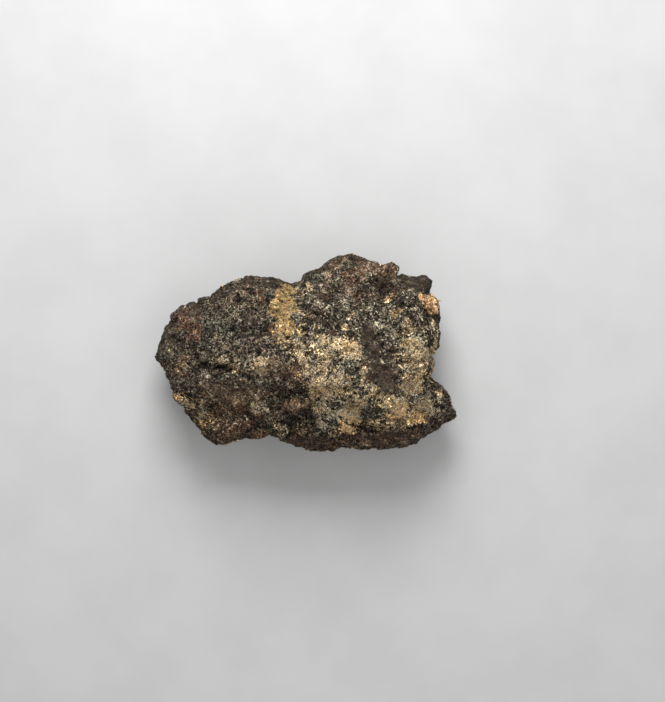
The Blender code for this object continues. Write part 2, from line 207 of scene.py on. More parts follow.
PINK = {
    "far lobe, ridge": (1.86, 2.06, 0.40, 0.15, -10, 1.8),
    "far lobe, head": (0.92, 2.22, 0.26, 0.16, 10, 0.4),
    "far lobe, pale streak": (1.30, 2.30, 0.10, 0.10, 0, 0.4),
    "far lobe, inner slope": (1.06, 1.60, 0.16, 0.16, 0, 0.7),
    "far lobe, crumb": (0.55, 1.86, 0.10, 0.11, 0, 0.9),
    "far lobe, left edge": (0.70, 2.16, 0.13, 0.10, 0, 0.7),
    "lens": (-0.20, -1.26, 0.26, 0.09, 8, 1.9),
    "brown shelf": (-0.40, -0.44, 0.34, 0.18, 0, 0.8),
    "red hollow": (-2.86, 0.76, 0.13, 0.10, 0, 0.8),
    "heart of the red hollow": (-2.80, 0.42, 0.14, 0.10, 0, 0.7),
    "slope's bench": (-1.86, -0.98, 0.54, 0.20, -4, 1.9),
    "slope's right": (-1.40, -1.26, 0.16, 0.12, 0, 0.5),
    "top of the block": (-1.44, 1.68, 0.18, 0.15, 0, 1.3),
    "far edge of the block": (-1.12, 1.36, 0.10, 0.18, 0, 0.5),
    "small disc behind the middle": (1.65, 1.43, 0.07, 0.06, 0, 0.9),
    "right field, upper": (2.66, 1.08, 0.10, 0.07, 0, 0.8),
    "near band": (2.20, -2.14, 0.66, 0.14, 4, 1.6),
    "far of the slope's band": (-1.24, -0.48, 0.50, 0.13, -4, 1.0),
    "left of the open crack": (-3.00, -0.44, 0.14, 0.22, 0, 0.5),
    "far lobe, middle": (1.32, 1.86, 0.18, 0.18, 0, 0.4),
    "brown shelf, far": (-0.66, -0.26, 0.20, 0.16, 0, 1.1),
    "below the crumb": (-0.96, -0.52, 0.20, 0.09, 0, 0.9),
}
GREEN = {
    "gap before the large island": (1.00, -0.28, 0.22, 0.14, 0, 1.2),
    "between the islands": (0.06, 0.26, 0.12, 0.26, 0, 0.6),
    "near field": (1.50, -1.36, 0.20, 0.30, 0, 0.9),
    "near field, left": (0.66, -1.24, 0.20, 0.14, 0, 0.8),
    "left of the drop": (0.76, -1.78, 0.16, 0.22, 0, 0.9),
    "over the near band": (2.10, -1.80, 0.44, 0.13, 0, 1.0),
    "green corner": (2.96, -0.72, 0.14, 0.14, 0, 1.2),
    "recess": (0.00, -0.94, 0.26, 0.14, 0, 1.0),
    "band behind the slope": (-1.70, -0.68, 0.60, 0.13, -4, 1.0),
    "block": (-2.10, 0.74, 0.44, 0.30, 0, 0.6),
    "edge of the yellow hollow": (-0.92, 1.30, 0.08, 0.30, 0, 0.9),
    "far lobe, left side": (0.10, 1.84, 0.30, 0.18, 0, 0.7),
    "cheek": (-3.40, 0.40, 0.20, 0.30, 0, 0.5),
    "right shoulder": (3.24, -1.00, 0.26, 0.20, 0, 0.7),
    "left of the ochre ground": (1.74, -1.40, 0.18, 0.34, 0, 1.2),
}
# Painted shade: most rows lay a nearly black colour where shade falls, in pits, holes, cracks, grooves,
# recesses, gaps between islands and under ledges; the rest darken patches of the crust.
PAINTED_SHADE_AND_DARK_SPOTS = {
    "pit behind the far lobe": (1.92, 1.72, 0.19, 0.21, -12, 2.0),
    "pit, left": (1.66, 1.76, 0.12, 0.10, 0, 0.66),
    "open crack": (-2.74, -0.42, 0.11, 0.10, -10, 0.82),
    "dark of the red hollow": (-3.00, 0.16, 0.18, 0.14, 0, 0.82),
    "left corner, first": (-3.10, -0.93, 0.11, 0.09, 0, 1.0),
    "left corner, second": (-2.76, -0.90, 0.15, 0.11, 0, 0.8),
    "band behind the slope": (-1.80, -0.64, 0.60, 0.08, -4, 0.2),
    "band behind the slope, left": (-2.24, -0.62, 0.16, 0.07, 0, 0.74),
    "slope, dark bench": (-2.20, -1.28, 0.34, 0.14, -20, 0.45),
    "slope, second dark bench": (-1.80, -1.60, 0.54, 0.14, 0, 0.8),
    "slope, right": (-1.24, -1.76, 0.20, 0.20, 0, 0.9),
    "slope, foot": (-2.36, -1.84, 0.20, 0.12, 0, 0.9),
    "recess, far": (-0.64, -0.80, 0.34, 0.12, -4, 0.49),
    "recess": (-0.24, -0.96, 0.38, 0.13, 4, 0.75),
    "recess, left end": (-1.00, -0.80, 0.18, 0.10, 0, 0.4),
    "left of the lens": (-0.78, -1.34, 0.16, 0.20, 0, 0.9),
    "under the lens": (-0.30, -1.62, 0.44, 0.13, -4, 0.65),
    "near edge, first": (-0.34, -1.96, 0.12, 0.16, 0, 0.7),
    "near edge, second": (0.16, -1.80, 0.12, 0.20, 0, 0.5),
    "near edge, third": (-0.06, -2.22, 0.52, 0.13, 0, 1.2),
    "near edge, fourth": (0.90, -2.16, 0.26, 0.08, 0, 0.66),
    "edge of the block": (-0.93, 1.30, 0.06, 0.14, 0, 0.98),
    "edge of the block, far": (-0.76, 1.74, 0.18, 0.13, 0, 1.1),
    "edge of the block, near": (-0.97, 0.58, 0.11, 0.15, 0, 1.0),
    "block, first hollow": (-1.62, 0.58, 0.13, 0.09, 0, 0.66),
    "block, second hollow": (-2.36, 0.30, 0.16, 0.16, 0, 0.5),
    "block, third hollow": (-0.50, 0.02, 0.13, 0.14, 0, 0.25),
    "hole at the near edge": (1.39, -1.86, 0.13, 0.11, 0, 1.23),
    "over the near band": (1.96, -1.78, 0.30, 0.07, 0, 0.2),
    "near band": (1.60, -2.10, 0.60, 0.07, 0, 0.5),
    "near band, right": (2.60, -1.98, 0.50, 0.07, 10, 0.45),
    "purple patch": (0.78, 0.78, 0.25, 0.19, 0, 0.85),
    "left of the purple patch": (0.36, 0.90, 0.14, 0.14, 0, 0.66),
    "by the yellow hollow": (0.12, 1.10, 0.15, 0.13, 0, 0.74),
    "behind the purple patch": (1.28, 1.14, 0.16, 0.10, 0, 0.74),
    "behind the large island": (1.18, 0.36, 0.12, 0.07, -20, 0.74),
    "blue spot": (0.00, 0.32, 0.10, 0.12, 0, 0.3),
    "middle, brown hollow": (1.00, -0.88, 0.13, 0.07, 0, 0.55),
    "middle, purple": (0.80, -1.22, 0.18, 0.09, 0, 0.35),
    "slope behind the dark hollow": (1.56, 0.48, 0.20, 0.22, 20, 0.74),
    "groove, far": (2.34, 1.18, 0.14, 0.08, -12, 0.9),
    "groove": (2.58, 1.02, 0.13, 0.09, -12, 0.9),
    "groove, near": (2.80, 0.74, 0.24, 0.08, -38, 0.74),
    "right edge": (2.98, 0.50, 0.24, 0.07, 0, 0.6),
    "green corner": (3.00, -0.72, 0.12, 0.12, 0, 0.5),
    "under the ear": (2.46, 1.72, 0.09, 0.09, 0, 0.74),
    "right of the lip": (2.24, -0.62, 0.14, 0.14, 0, 0.49),
    "dark hollow's heart": (1.80, -0.58, 0.26, 0.16, 0, 0.45),
    "gap beside the large island": (1.10, -0.38, 0.16, 0.10, 0, 0.4),
    "gap before the large island": (0.64, 0.04, 0.06, 0.20, 0, 0.35),
    "purple fold": (0.56, 1.44, 0.25, 0.15, 0, 0.8),
    "gap by the tongue": (0.10, 0.00, 0.08, 0.16, 0, 0.6),
    "far of the middle": (0.28, 0.84, 0.14, 0.10, 0, 0.5),
    "purple fold, right": (0.64, 1.56, 0.17, 0.12, 0, 1.2),
    "over the near band, right": (2.52, -1.88, 0.26, 0.06, 6, 0.5),
    "block, fourth hollow": (-2.26, 0.30, 0.14, 0.16, 0, 0.3),
    "block, fifth hollow": (-1.36, 0.08, 0.12, 0.12, 0, 0.3),
    "by the far island": (0.12, 0.80, 0.13, 0.13, 0, 0.7),
    "left of the right field": (2.24, 0.02, 0.09, 0.14, 0, 0.5),
    "near field, far right": (1.70, -1.32, 0.13, 0.14, 0, 0.9),
    "under the lip": (2.52, -1.06, 0.15, 0.06, 0, 0.6),
    "right of the ochre ground": (3.12, -1.42, 0.11, 0.16, 0, 0.35),
    "near end of the tongue": (-0.02, -0.60, 0.13, 0.08, 0, 0.6),
    "recess, right end": (0.00, -1.12, 0.10, 0.14, 0, 0.8),
    "foot of the strip": (-1.08, -1.72, 0.14, 0.24, 0, 0.7),
    "far of the far island": (0.32, 0.56, 0.14, 0.08, 0, 0.6),
    "behind the purple patch, left": (1.32, 1.08, 0.10, 0.12, 0, 0.6),
    "block, sixth hollow": (-1.56, 1.22, 0.14, 0.09, 0, 0.5),
    "rim of the ear": (2.80, 1.98, 0.46, 0.07, -4, 0.8),
    "block, by its near edge": (-1.04, 0.36, 0.16, 0.12, 0, 0.6),
}
SMOOTH_DARK = {
    "dark hollow, far": (1.62, 0.26, 0.22, 0.36, 20, 0.75),
    "dark hollow, middle": (1.94, -0.38, 0.36, 0.26, 0, 0.9),
    "dark hollow, near": (1.92, -0.74, 0.32, 0.24, 10, 0.95),
    "ear": (2.84, 1.76, 0.40, 0.22, -8, 1.4),
    "ear's foot": (3.00, 1.60, 0.14, 0.12, 0, 0.8),
    "cheek": (-3.46, 0.30, 0.18, 0.36, 10, 0.8),
    "dark hollow, between": (1.84, -0.06, 0.34, 0.22, -20, 0.35),
    "dark hollow, left": (1.62, -0.56, 0.14, 0.16, 0, 0.7),
    "far side of the left corner": (-2.86, 1.08, 0.34, 0.12, 24, 0.6),
}

# Every colour of stain and the painted shade, in the order that they are laid over each other.
STAINS = {
    "rust": RUST,
    "pink": PINK,
    "green": GREEN,
    "tan": TAN,
    "mustard": MUSTARD,
    "ochre": OCHRE,
    "salmon": SALMON,
    "smooth": SMOOTH_DARK,
    "shade": PAINTED_SHADE_AND_DARK_SPOTS,
}

# Where pale threads and cream grains lie, as the stains. The strength is the share
# of the ground that they fill, and above 1 it fills more of the ellipse.
SPECKLED = {
    "whole crown": (0.0, 0.0, 5.0, 4.0, 0, 0.05),
    "right half": (1.50, -0.10, 2.20, 1.70, 0, 0.28),
    "large island": (1.06, 0.08, 0.36, 0.28, -12, 0.9),
    "middle": (0.56, -0.20, 0.60, 0.66, 0, 0.50),
    "pale threads": (0.78, -0.62, 0.32, 0.28, 0, 0.85),
    "far island": (0.36, 0.32, 0.32, 0.16, 15, 0.8),
    "tongue": (-0.09, 0.02, 0.16, 0.26, 20, 0.85),
    "tongue's tip": (0.12, -0.44, 0.16, 0.26, 20, 0.9),
    "near field": (0.96, -1.26, 0.66, 0.40, 0, 0.70),
    "near field, stripe": (0.58, -1.52, 0.30, 0.12, -22, 0.9),
    "tail of the drop": (1.16, -2.02, 0.10, 0.12, 0, 0.9),
    "white by the drop": (0.52, -1.72, 0.22, 0.24, 0, 0.9),
    "rim of the dark hollow": (1.44, -0.60, 0.15, 0.30, 10, 0.8),
    "corner of the dark hollow": (1.66, -0.88, 0.20, 0.14, -40, 1.0),
    "right of the dark hollow": (2.36, -0.40, 0.16, 0.28, 0, 0.4),
    "right field": (2.78, -0.12, 0.42, 0.52, 0, 0.75),
    "yellow lip": (2.56, -0.82, 0.30, 0.14, 0, 0.9),
    "ochre ground": (2.36, -1.38, 0.50, 0.30, 0, 0.85),
    "cream crumb on the right": (2.90, -1.20, 0.24, 0.14, 0, 0.8),
    "beside the yellow hollow": (-0.08, 1.50, 0.22, 0.30, 0, 0.55),
    "pale disc": (0.09, 1.63, 0.12, 0.10, 0, 1.0),
    "vein field": (0.50, 1.20, 0.26, 0.12, -30, 0.45),
    "green patch": (0.08, 0.72, 0.20, 0.26, 0, 0.4),
    "far rise": (1.92, 0.94, 0.70, 0.28, -20, 0.48),
    "streak on the far rise": (1.72, 0.74, 0.10, 0.26, 30, 0.9),
    "by the ochre spot": (2.10, 1.26, 0.22, 0.22, 0, 0.35),
    "white spot on the right": (2.84, 0.82, 0.20, 0.14, 0, 0.8),
    "right edge": (3.18, 0.66, 0.13, 0.16, 0, 0.7),
    "under the ear": (2.58, 1.56, 0.16, 0.12, 0, 0.7),
    "yellow hollow": (-0.48, 0.90, 0.34, 0.60, 0, 0.30),
    "far lobe": (1.10, 1.90, 0.80, 0.50, 0, 0.18),
    "block, near side": (-1.60, -0.16, 0.70, 0.34, 0, 0.20),
    "white on the block": (-1.95, 0.26, 0.13, 0.10, 0, 0.35),
    "crumb on the block": (-1.09, -0.30, 0.15, 0.20, 20, 1.2),
    "lilac on the block": (-1.08, 0.62, 0.10, 0.12, 0, 0.3),
    "cheek": (-3.34, 0.10, 0.14, 0.14, 0, 0.5),
    "by the open crack": (-2.46, -0.56, 0.14, 0.08, 0, 0.9),
    "pink streak": (-2.50, -0.80, 0.08, 0.18, 40, 0.8),
    "slope": (-1.90, -1.30, 0.90, 0.64, 0, 0.34),
    "left rim": (-2.95, -1.28, 0.34, 0.13, -42, 0.55),
    "slope's foot": (-2.08, -1.80, 0.22, 0.13, 0, 0.5),
    "strip right of the slope": (-1.19, -1.18, 0.09, 0.26, 0, 1.3),
    "white flecks by the strip": (-0.97, -1.42, 0.18, 0.18, 0, 1.3),
    "foot": (-0.60, -1.80, 0.26, 0.26, 0, 0.4),
    "floor of the dark hollow": (2.04, -0.14, 0.26, 0.11, -10, 0.3),
    "near island": (0.48, -1.00, 0.28, 0.30, 0, 1.0),
    "brown shelf": (-0.46, -0.30, 0.36, 0.26, 0, 0.25),
    "pale spot on the block": (-2.00, -0.18, 0.26, 0.16, 0, 0.6),
    "slope's left side": (-2.70, -1.40, 0.26, 0.36, 20, 0.5),
    "right foot": (3.20, -1.30, 0.36, 0.32, 0, 0.65),
    "cluster behind the middle": (1.00, 1.16, 0.17, 0.16, 0, 0.7),
    "pale block on the right": (2.56, 1.14, 0.20, 0.10, -10, 0.9),
    "brown slope, right": (-1.60, -1.10, 0.40, 0.22, 0, 0.4),
    "far of the dark hollow": (2.12, 0.54, 0.36, 0.20, -20, 0.95),
    "under the yellow hollow": (-0.50, 0.20, 0.36, 0.24, 0, 0.4),
    "far of the slope's band": (-1.22, -0.42, 0.46, 0.16, -4, 0.7),
    "right corner": (2.70, -1.10, 0.50, 0.40, 0, 0.6),
    "near band": (1.40, -2.10, 0.50, 0.14, 0, 0.4),
    "far rise, left": (1.54, 0.92, 0.20, 0.24, 0, 0.8),
    "right rim": (3.10, -0.10, 0.16, 0.40, 0, 0.7),
    "right of the ochre ground": (2.84, -1.26, 0.26, 0.16, 0, 1.0),
    "near island, far": (0.40, -0.88, 0.22, 0.18, 0, 1.3),
    "near side of the large island": (1.08, -0.10, 0.30, 0.11, 0, 1.3),
    "upright on the block": (-1.62, 0.86, 0.07, 0.16, 0, 0.5),
    "left of the open crack": (-3.02, -0.20, 0.20, 0.50, 0, 0.25),
    "middle of the near field": (1.08, -1.42, 0.24, 0.28, 0, 1.0),
    "brown shelf, far": (-0.66, -0.22, 0.20, 0.16, 0, 0.5),
    "block": (-2.00, 0.30, 0.60, 0.44, 0, 0.2),
    "below the crumb": (-1.10, -0.50, 0.40, 0.11, 0, 0.6),
}

# How far each kind of calm ground evens out its grit.
CALM = {"mustard": 0.85, "pink": 0.8, "ochre": 0.5, "salmon": 0.5}

# How far patchy noise makes a stain stronger or weaker.
PATCHINESS = 0.28

# Dark cracks of the crown, dented into the skin and coloured with painted shade:
# a line of straight runs, half width and strength.
CRACKS = {
    "open crack at the left": ([(-2.85, 0.00), (-2.80, -0.30), (-2.74, -0.44), (-2.66, -0.56)], 0.040, 1.0),
    "branch of the open crack": ([(-2.70, -0.38), (-2.54, -0.25), (-2.42, -0.33)], 0.030, 0.6),
    "crack behind the slope": ([(-2.45, -0.62), (-2.05, -0.68), (-1.60, -0.72), (-1.15, -0.66)], 0.030, 0.3),
    "seam across the block": ([(-2.10, 0.46), (-1.66, 0.48), (-1.30, 0.54), (-0.96, 0.44)], 0.035, 0.35),
    "edge of the block": ([(-0.86, 1.55), (-0.94, 1.25), (-0.90, 0.85), (-1.00, 0.62)], 0.035, 0.4),
    "groove on the right": ([(2.24, 1.20), (2.52, 1.14), (2.86, 1.20), (3.10, 1.02)], 0.040, 0.6),
    "lip of the lens": ([(-0.45, -1.36), (-0.10, -1.16), (0.20, -1.22)], 0.035, 0.5),
    "ledge over the near band": ([(0.95, -1.95), (1.60, -1.86), (2.30, -1.90), (3.10, -1.84)], 0.040, 0.5),
    "second ledge": ([(1.20, -2.16), (1.90, -2.10), (2.60, -2.14)], 0.030, 0.4),
    "diagonal by the dark hollow": ([(1.56, 0.86), (1.86, 0.50), (2.10, 0.30)], 0.030, 0.2),
}
CRACK_DEPTH = 0.08

# Thin pale veins of the crown: a line, its half width and strength.
VEINS = {
    "vein on the slope": ([(-2.58, -0.76), (-2.36, -0.98), (-2.20, -1.16)], 0.024, 0.8),
    "second vein on the slope": ([(-1.55, -1.60), (-1.42, -1.86)], 0.022, 0.6),
    "vein behind the middle": ([(1.58, 0.92), (1.72, 0.72), (1.84, 0.60)], 0.024, 0.7),
    "vein by the yellow hollow": ([(0.20, 1.28), (0.42, 1.10)], 0.022, 0.6),
    "vein on the far rise": ([(2.20, 1.20), (2.36, 0.94)], 0.022, 0.6),
    "streak across the near field": ([(0.46, -1.22), (0.60, -1.40), (0.86, -1.64)], 0.026, 1.0),
    "streak by the right foot": ([(2.60, -1.20), (2.80, -1.12), (3.06, -1.22)], 0.024, 0.8),
    "white line at the near edge": ([(-0.47, -1.80), (-0.44, -1.95)], 0.026, 1.0),
    "edge of the dark hollow": ([(1.60, -0.72), (1.76, -0.92)], 0.024, 0.6),
    "white spot in the dark hollow": ([(1.88, -0.12), (1.94, -0.17)], 0.034, 1.4),
    "second spot in the dark hollow": ([(1.99, 0.03), (2.01, 0.02)], 0.024, 1.0),
    "spot behind the hollow": ([(2.15, 0.49), (2.17, 0.47)], 0.024, 1.2),
    "second spot behind the hollow": ([(1.90, 0.36), (1.92, 0.34)], 0.022, 1.0),
    "fleck by the strip": ([(-1.02, -0.90), (-1.00, -0.95)], 0.024, 1.2),
    "second fleck by the strip": ([(-0.90, -1.40), (-0.90, -1.46)], 0.026, 1.3),
    "third fleck by the strip": ([(-1.08, -1.44), (-1.06, -1.50)], 0.022, 1.1),
    "fleck by the open crack": ([(-2.43, -0.54), (-2.40, -0.56)], 0.026, 1.2),
    "fleck under the ear": ([(2.56, 1.57), (2.60, 1.55)], 0.026, 1.0),
    "fleck on the right": ([(2.56, 1.08), (2.70, 1.06)], 0.030, 1.0),
    "spot on the right": ([(2.82, 0.87), (2.92, 0.82)], 0.028, 1.0),
}

# Where the skin stands out of the softened solid: plan x and y, radius, and how far
# outwards, or inwards where it is less than 0.
SWELLS = {
    "left corner": (-2.80, 1.24, 0.17, 0.10),
    "far side of the right foot": (3.52, -0.98, 0.34, 0.07),
    "tip of the right foot": (3.74, -1.58, 0.20, 0.03),
    "near edge": (1.32, -2.44, 0.40, -0.06),
    "near edge, left": (-0.26, -2.36, 0.24, -0.04),
    "ear": (3.16, 1.84, 0.17, 0.06),
    "foot of the ear": (3.06, 1.45, 0.12, 0.06),
    "right shoulder": (3.30, 1.10, 0.24, 0.05),
    "right edge": (3.16, -0.36, 0.30, 0.05),
    "far lobe": (1.60, 2.34, 0.36, 0.04),
    "left flank": (-3.42, -0.40, 0.20, 0.04),
    "left cheek": (-3.42, 0.90, 0.24, 0.04),
    "foot of the slope": (-2.20, -2.32, 0.30, 0.03),
    "pit behind the far lobe": (1.92, 1.74, 0.18, -0.16),
    "hole at the near edge": (1.39, -1.86, 0.12, -0.09),
    "left corner, first hole": (-3.08, -0.93, 0.09, -0.06),
    "left corner, second hole": (-2.74, -0.91, 0.13, -0.06),
    "under the lens": (-0.24, -1.62, 0.22, -0.08),
    "lens": (-0.20, -1.28, 0.17, 0.05),
    "heart of the dark hollow": (1.78, -0.56, 0.24, -0.06),
    "near island": (0.40, -1.08, 0.22, 0.06),
}

# Turns places before each layer of noise, so that no lattice shows.
TURN = np.array(Matrix.Rotation(0.9, 3, Vector((1.0, 2.0, 0.7))))

# Factors and stirs that turn a cell's coordinates into a random number.
AXIS_FACTORS = (73856093, 19349663, 83492791)
SEED_FACTOR = 40503
SEED_SHIFT = 977
STIRS = ((16, 0x85EBCA6B), (13, 0xC2B2AE35))

# The skin's grid: how wide its box bulges, in radians, which evens out its faces,
# and where it starts from outside the solid, with 1 for half the solid's box.
GRID_BULGE = 0.55
GRID_START = 2.4

# Shares of the way to its neighbours' mean that a vertex moves in a pass.
KEEPS_SIZE = (0.5, -0.52)
SOFTENS = (0.6,)

# A stain is whole inside the first share of its radii and ends at the second, and
# ragged noise moves its edge.
STAIN_EDGE = (0.30, 1.75)
RAGGEDNESS = 0.36

# Noise that pushes the crown's plan about: how far, and its two sizes.
PUSH = 0.05
PUSH_SIZES = (0.40, 0.16)

# A stain's cover grows between these sums of its strength and patchy noise, and
# dust between the next two. Calm stains between the strengths of FIRM cover up to
# FIRMNESS more.
COVER = (0.0, 1.15)
DUST_COVER = (-0.5, 1.0)
FIRM = (1.2, 2.0)
FIRMNESS = 0.4

# How strongly the crown's steep rims are darkened with painted shade.
PAINTED_RIM_SHADE = 0.95

# The worn creases between chips, as shares of a chip's size.
CREASE_WIDTH = 0.14
CREASE_DEPTH = 0.05

# Round pits: the size of the cells that may hold one, and the share that does.
PIT_SPACING = 0.34
PIT_SHARE = 0.25

# Thin layers: radians of their wave in a millimetre of height.
LAYER_WAVE = 34

# Heights and depths of the skin's finer relief.
PIT_DEPTH = 0.045
LAYER_HEIGHT = 0.012
FINE_HEIGHT = 0.004
CLUMP_HEIGHT = 0.014
SHADE_DEPTH = 0.03
VEIN_HEIGHT = 0.010

# How far the whole skin is set out, to make up for what its smoothing takes off.
RISE = 0.022

# Ramps of the skin's material: the low and the high of a value, then the factors
# that they turn into. The clumps' low factor comes from the dust.
LUMPS = (0.38, 0.62, 0.65, 1.40)
GRIT = (0.41, 0.59, 0.0, 2.20)
SPECKS = (0.41, 0.59, 0.04, 2.05)
CREAM_SPECKS = (0.42, 0.58, 0.45, 1.40)
CLUMPS = (0.10, 0.90)
CLUMP_TOP = 1.34
GAPS_BY_DUST = (0.0, 1.0, 0.78, 0.55)
BETWEEN_THREADS = (0.0, 0.6, 0.85, 0.55)
THREAD_GLOW = (0.0, 0.6, 1.0, 2.0)
PALE_BY_DUST = (0.0, 0.4, 0.45, 1.0)
PALE_BY_CLUMP = (0.10, 0.55, 0.30, 1.0)
PALE_BY_BARENESS = (0.4, 1.0, 1.0, 0.30)

# Threads: lumps of noise to a millimetre, half width as a share of the noise, and
# a shift that sets one net apart from the other. They show where a second noise is
# past the limits of a gate, and dust opens the dusty gate.
WIDE_THREADS = (9.0, 0.050, 51.0)
THIN_THREADS = (16.0, 0.062, 61.0)
GATE = (0.42, 0.56)
DUSTY_GATE = (0.61, 0.66)
DUST_OPENS = 0.21

# Frayed edges: how much the noise counts beside the stored cover, and the limits
# that their sum has to pass.
STAIN_FRAY = 5.0
STAIN_LIMITS = (2.80, 3.15)
VEIN_FRAY = 6.0
VEIN_LIMITS = (3.55, 3.85)

WHITE = (1.0, 1.0, 1.0)
WARM_GAPS = (1.16, 0.94, 0.66)

# Shapes of grains: the least and the greatest length, width and height.
SLENDER = ((0.9, 0.50, 0.3), (3.0, 0.85, 0.5))
STOUT = ((0.8, 0.7, 0.25), (1.7, 1.2, 0.5))

# Grains: how far their corners are pushed in and out, how far they bend and tip,
# how deep they may sink in shares of their size, and the limits of their sizes.
DENTS = (0.75, 1.25)
BEND = 0.30
TIP = 0.14
SUNK = 0.40
SIZE_LIMITS = (0.4, 1.8)

# Kinds of grains: darkest shade as a share of the colour, size beside a middling
# grain, shape and roughness.
GRAINS = {
    "cream": (0.40, 1.0, SLENDER, 0.6),
    "tan": (0.45, 1.15, SLENDER, 0.7),
    "rust": (0.35, 1.3, STOUT, 0.75),
    "dark": (0.25, 1.3, STOUT, 0.7),
}

# The stage: half the floor's width, the spot of the crown that the camera looks
# down on, the frame's height in pixels and how many pixels show a millimetre.
FLOOR_REACH = 400.0
CROWN_SPOT = (0.675, 0.05, 1.4)
FRAME_HEIGHT = 702
PIXELS_A_MM = 40.0
SENSOR = 36.0
LIGHT_AIM = (0.0, 0.0, 1.0)


def colour_setting(name, description, default):
    """A colour that the user can change."""
    return bpy.props.FloatVectorProperty(
        name=name, description=description, subtype="COLOR", default=default
    )


def length_setting(name, description, default, **limits):
    """A length in metres that the user can change."""
    return bpy.props.FloatProperty(
        name=name, description=description, default=default, unit="LENGTH", precision=6, **limits
    )


class StoneSkinSettings(bpy.types.PropertyGroup):
    """Sizes and colours of the stone's skin."""

    spacing: length_setting(
        "Grid spacing", "Width of the skin's grid faces", 0.0402 * MM, min=0.02 * MM
    )
    chip: length_setting(
        "Chip size", "Width of the largest broken facets that are added to the solid's", 0.42 * MM
    )
    relief: bpy.props.FloatProperty(
        name="Relief",
        description="How strongly chips, lumps and pits stand out, 1 for the real stone",
        default=1.0,
        min=0.0,
        max=2.0,
    )
    crust_green: colour_setting(
        "Green crust", "Greenish charcoal of the weathered crust", (0.053, 0.050, 0.035)
    )
    crust_brown: colour_setting(
        "Brown crust", "Warm brown of the weathered crust", (0.074, 0.058, 0.040)
    )
    crust_purple: colour_setting(
        "Purple crust", "Purplish brown of the weathered crust", (0.056, 0.040, 0.033)
    )
    rust: colour_setting("Rust", "Rusty brown ground", (0.090, 0.048, 0.026))
    pink: colour_setting("Pink", "Pinkish brown ground of the far lobe", (0.180, 0.127, 0.088))
    green: colour_setting("Green", "Greenish grey ground", (0.058, 0.057, 0.041))
    tan: colour_setting("Tan", "Tan dusty ground", (0.43, 0.318, 0.168))
    mustard: colour_setting("Mustard", "Mustard yellow ground", (0.330, 0.222, 0.090))
    ochre: colour_setting("Ochre", "Orange ochre ground", (0.80, 0.53, 0.245))
    salmon: colour_setting("Salmon", "Salmon orange ground", (0.62, 0.385, 0.205))
    smooth: colour_setting(
        "Smooth dark", "Smooth brown-grey ground of the dark hollow", (0.057, 0.043, 0.031)
    )
    # Painted shade: this colour is laid in pits, holes, cracks and recesses, under ledges and on the steep
    # rims, where shade falls, and in random dark patches on the hidden sides.
    shade: colour_setting(
        "Shade", "Nearly black ground of pits and cracks", (0.024, 0.018, 0.011)
    )
    dust: colour_setting(
        "Dust", "Pale threads between the grains of the crust", (0.64, 0.55, 0.38)
    )
    warm_dust: colour_setting(
        "Warm dust", "Pale threads between the grains of tan ground", (0.86, 0.71, 0.47)
    )


class GrainSettings(bpy.types.PropertyGroup):
    """Size, number and colours of the mineral grains."""

    size: length_setting("Grain size", "Half the width of a middling grain", 0.0140 * MM)
    spread: bpy.props.FloatProperty(
        name="Size spread",
        description="How far grains differ in size, as the spread of the logarithm",
        default=0.30,
        min=0.0,
        max=1.0,
    )
    count: bpy.props.IntProperty(
        name="Grains of a kind",
        description="How many grains each kind has",
        default=9600,
        min=100,
        max=9900,
    )
    cream: colour_setting("Cream", "Cream and white grains", (0.82, 0.72, 0.53))
    tan: colour_setting("Tan", "Tan and ochre grains", (0.46, 0.34, 0.19))
    rust: colour_setting("Rust", "Rusty brown grains", (0.15, 0.085, 0.052))
    dark: colour_setting("Dark", "Charcoal grains of the crust", (0.085, 0.075, 0.055))
    warm: colour_setting(
        "Warm", "Orange that grains turn to on ochre and salmon ground", (0.62, 0.37, 0.16)
    )


class StageSettings(bpy.types.PropertyGroup):
    """Floor, light and camera."""

    floor: colour_setting("Floor", "Pale floor under the stone", (0.50, 0.50, 0.50))
    camera_height: length_setting(
        "Camera height", "Height of the camera over the middle of the stone's crown", 60 * MM
    )
    key_power: bpy.props.FloatProperty(
        name="Key light",
        description="Power of the large soft light beyond the far side",
        default=0.0125,
        unit="POWER",
        precision=4,
    )
    sky: bpy.props.FloatProperty(
        name="Sky",
        description="Brightness of the even light from all round",
        default=0.512,
        min=0.0,
    )


def smooth_step(low, high, value):
    """0 at low, 1 at high and the cubic 3t^2 - 2t^3 between them, flat beyond both.
    Low may be the larger of the two."""
    t = np.clip((value - low) / (high - low), 0, 1)
    return t * t * (3 - 2 * t)


def cell_random(cells, seed):
    """A number from 0 to 1 for each whole-number cell: its three coordinates are
    multiplied by large odd numbers, mixed with exclusive or, and stirred."""
    cells = cells.astype(np.int64).astype(np.uint32)
    mixed = np.uint32(seed * SEED_FACTOR + SEED_SHIFT)
    for axis, factor in enumerate(AXIS_FACTORS):
        mixed = mixed ^ (cells[..., axis] * np.uint32(factor))
    for shift, factor in STIRS:
        mixed ^= mixed >> np.uint32(shift)
        mixed *= np.uint32(factor)
    mixed ^= mixed >> np.uint32(16)
    return mixed / 2.0**32


def noise(points, size, seed):
    """Smooth noise from -1 to 1: a random value at each lattice point a size apart,
    blended along the three axes with the smooth step. The lattice stands turned."""
    scaled = points @ TURN / size
    cell = np.floor(scaled)
    share = scaled - cell
    share = share * share * (3 - 2 * share)
    total = np.zeros(len(points))
    for corner in np.ndindex(2, 2, 2):
        corner = np.array(corner)
        weight = np.prod(np.where(corner, share, 1 - share), axis=1)
        total += weight * cell_random(cell + corner, seed)
    return 2 * total - 1


def rough_noise(points, size, seed, layers=4, fade=0.5):
    """Layers of noise, each half the size of the one before and weaker by fade."""
    total = np.zeros(len(points))
    for layer in range(layers):
        total += fade**layer * noise(points, size / 2**layer, seed + 17 * layer)
        points = points @ TURN
    return total


def patches(points, size, seed):
    """Patchy noise with a spread of 1."""
    field = rough_noise(points, size, seed, layers=4, fade=0.75)
    return field / field.std()


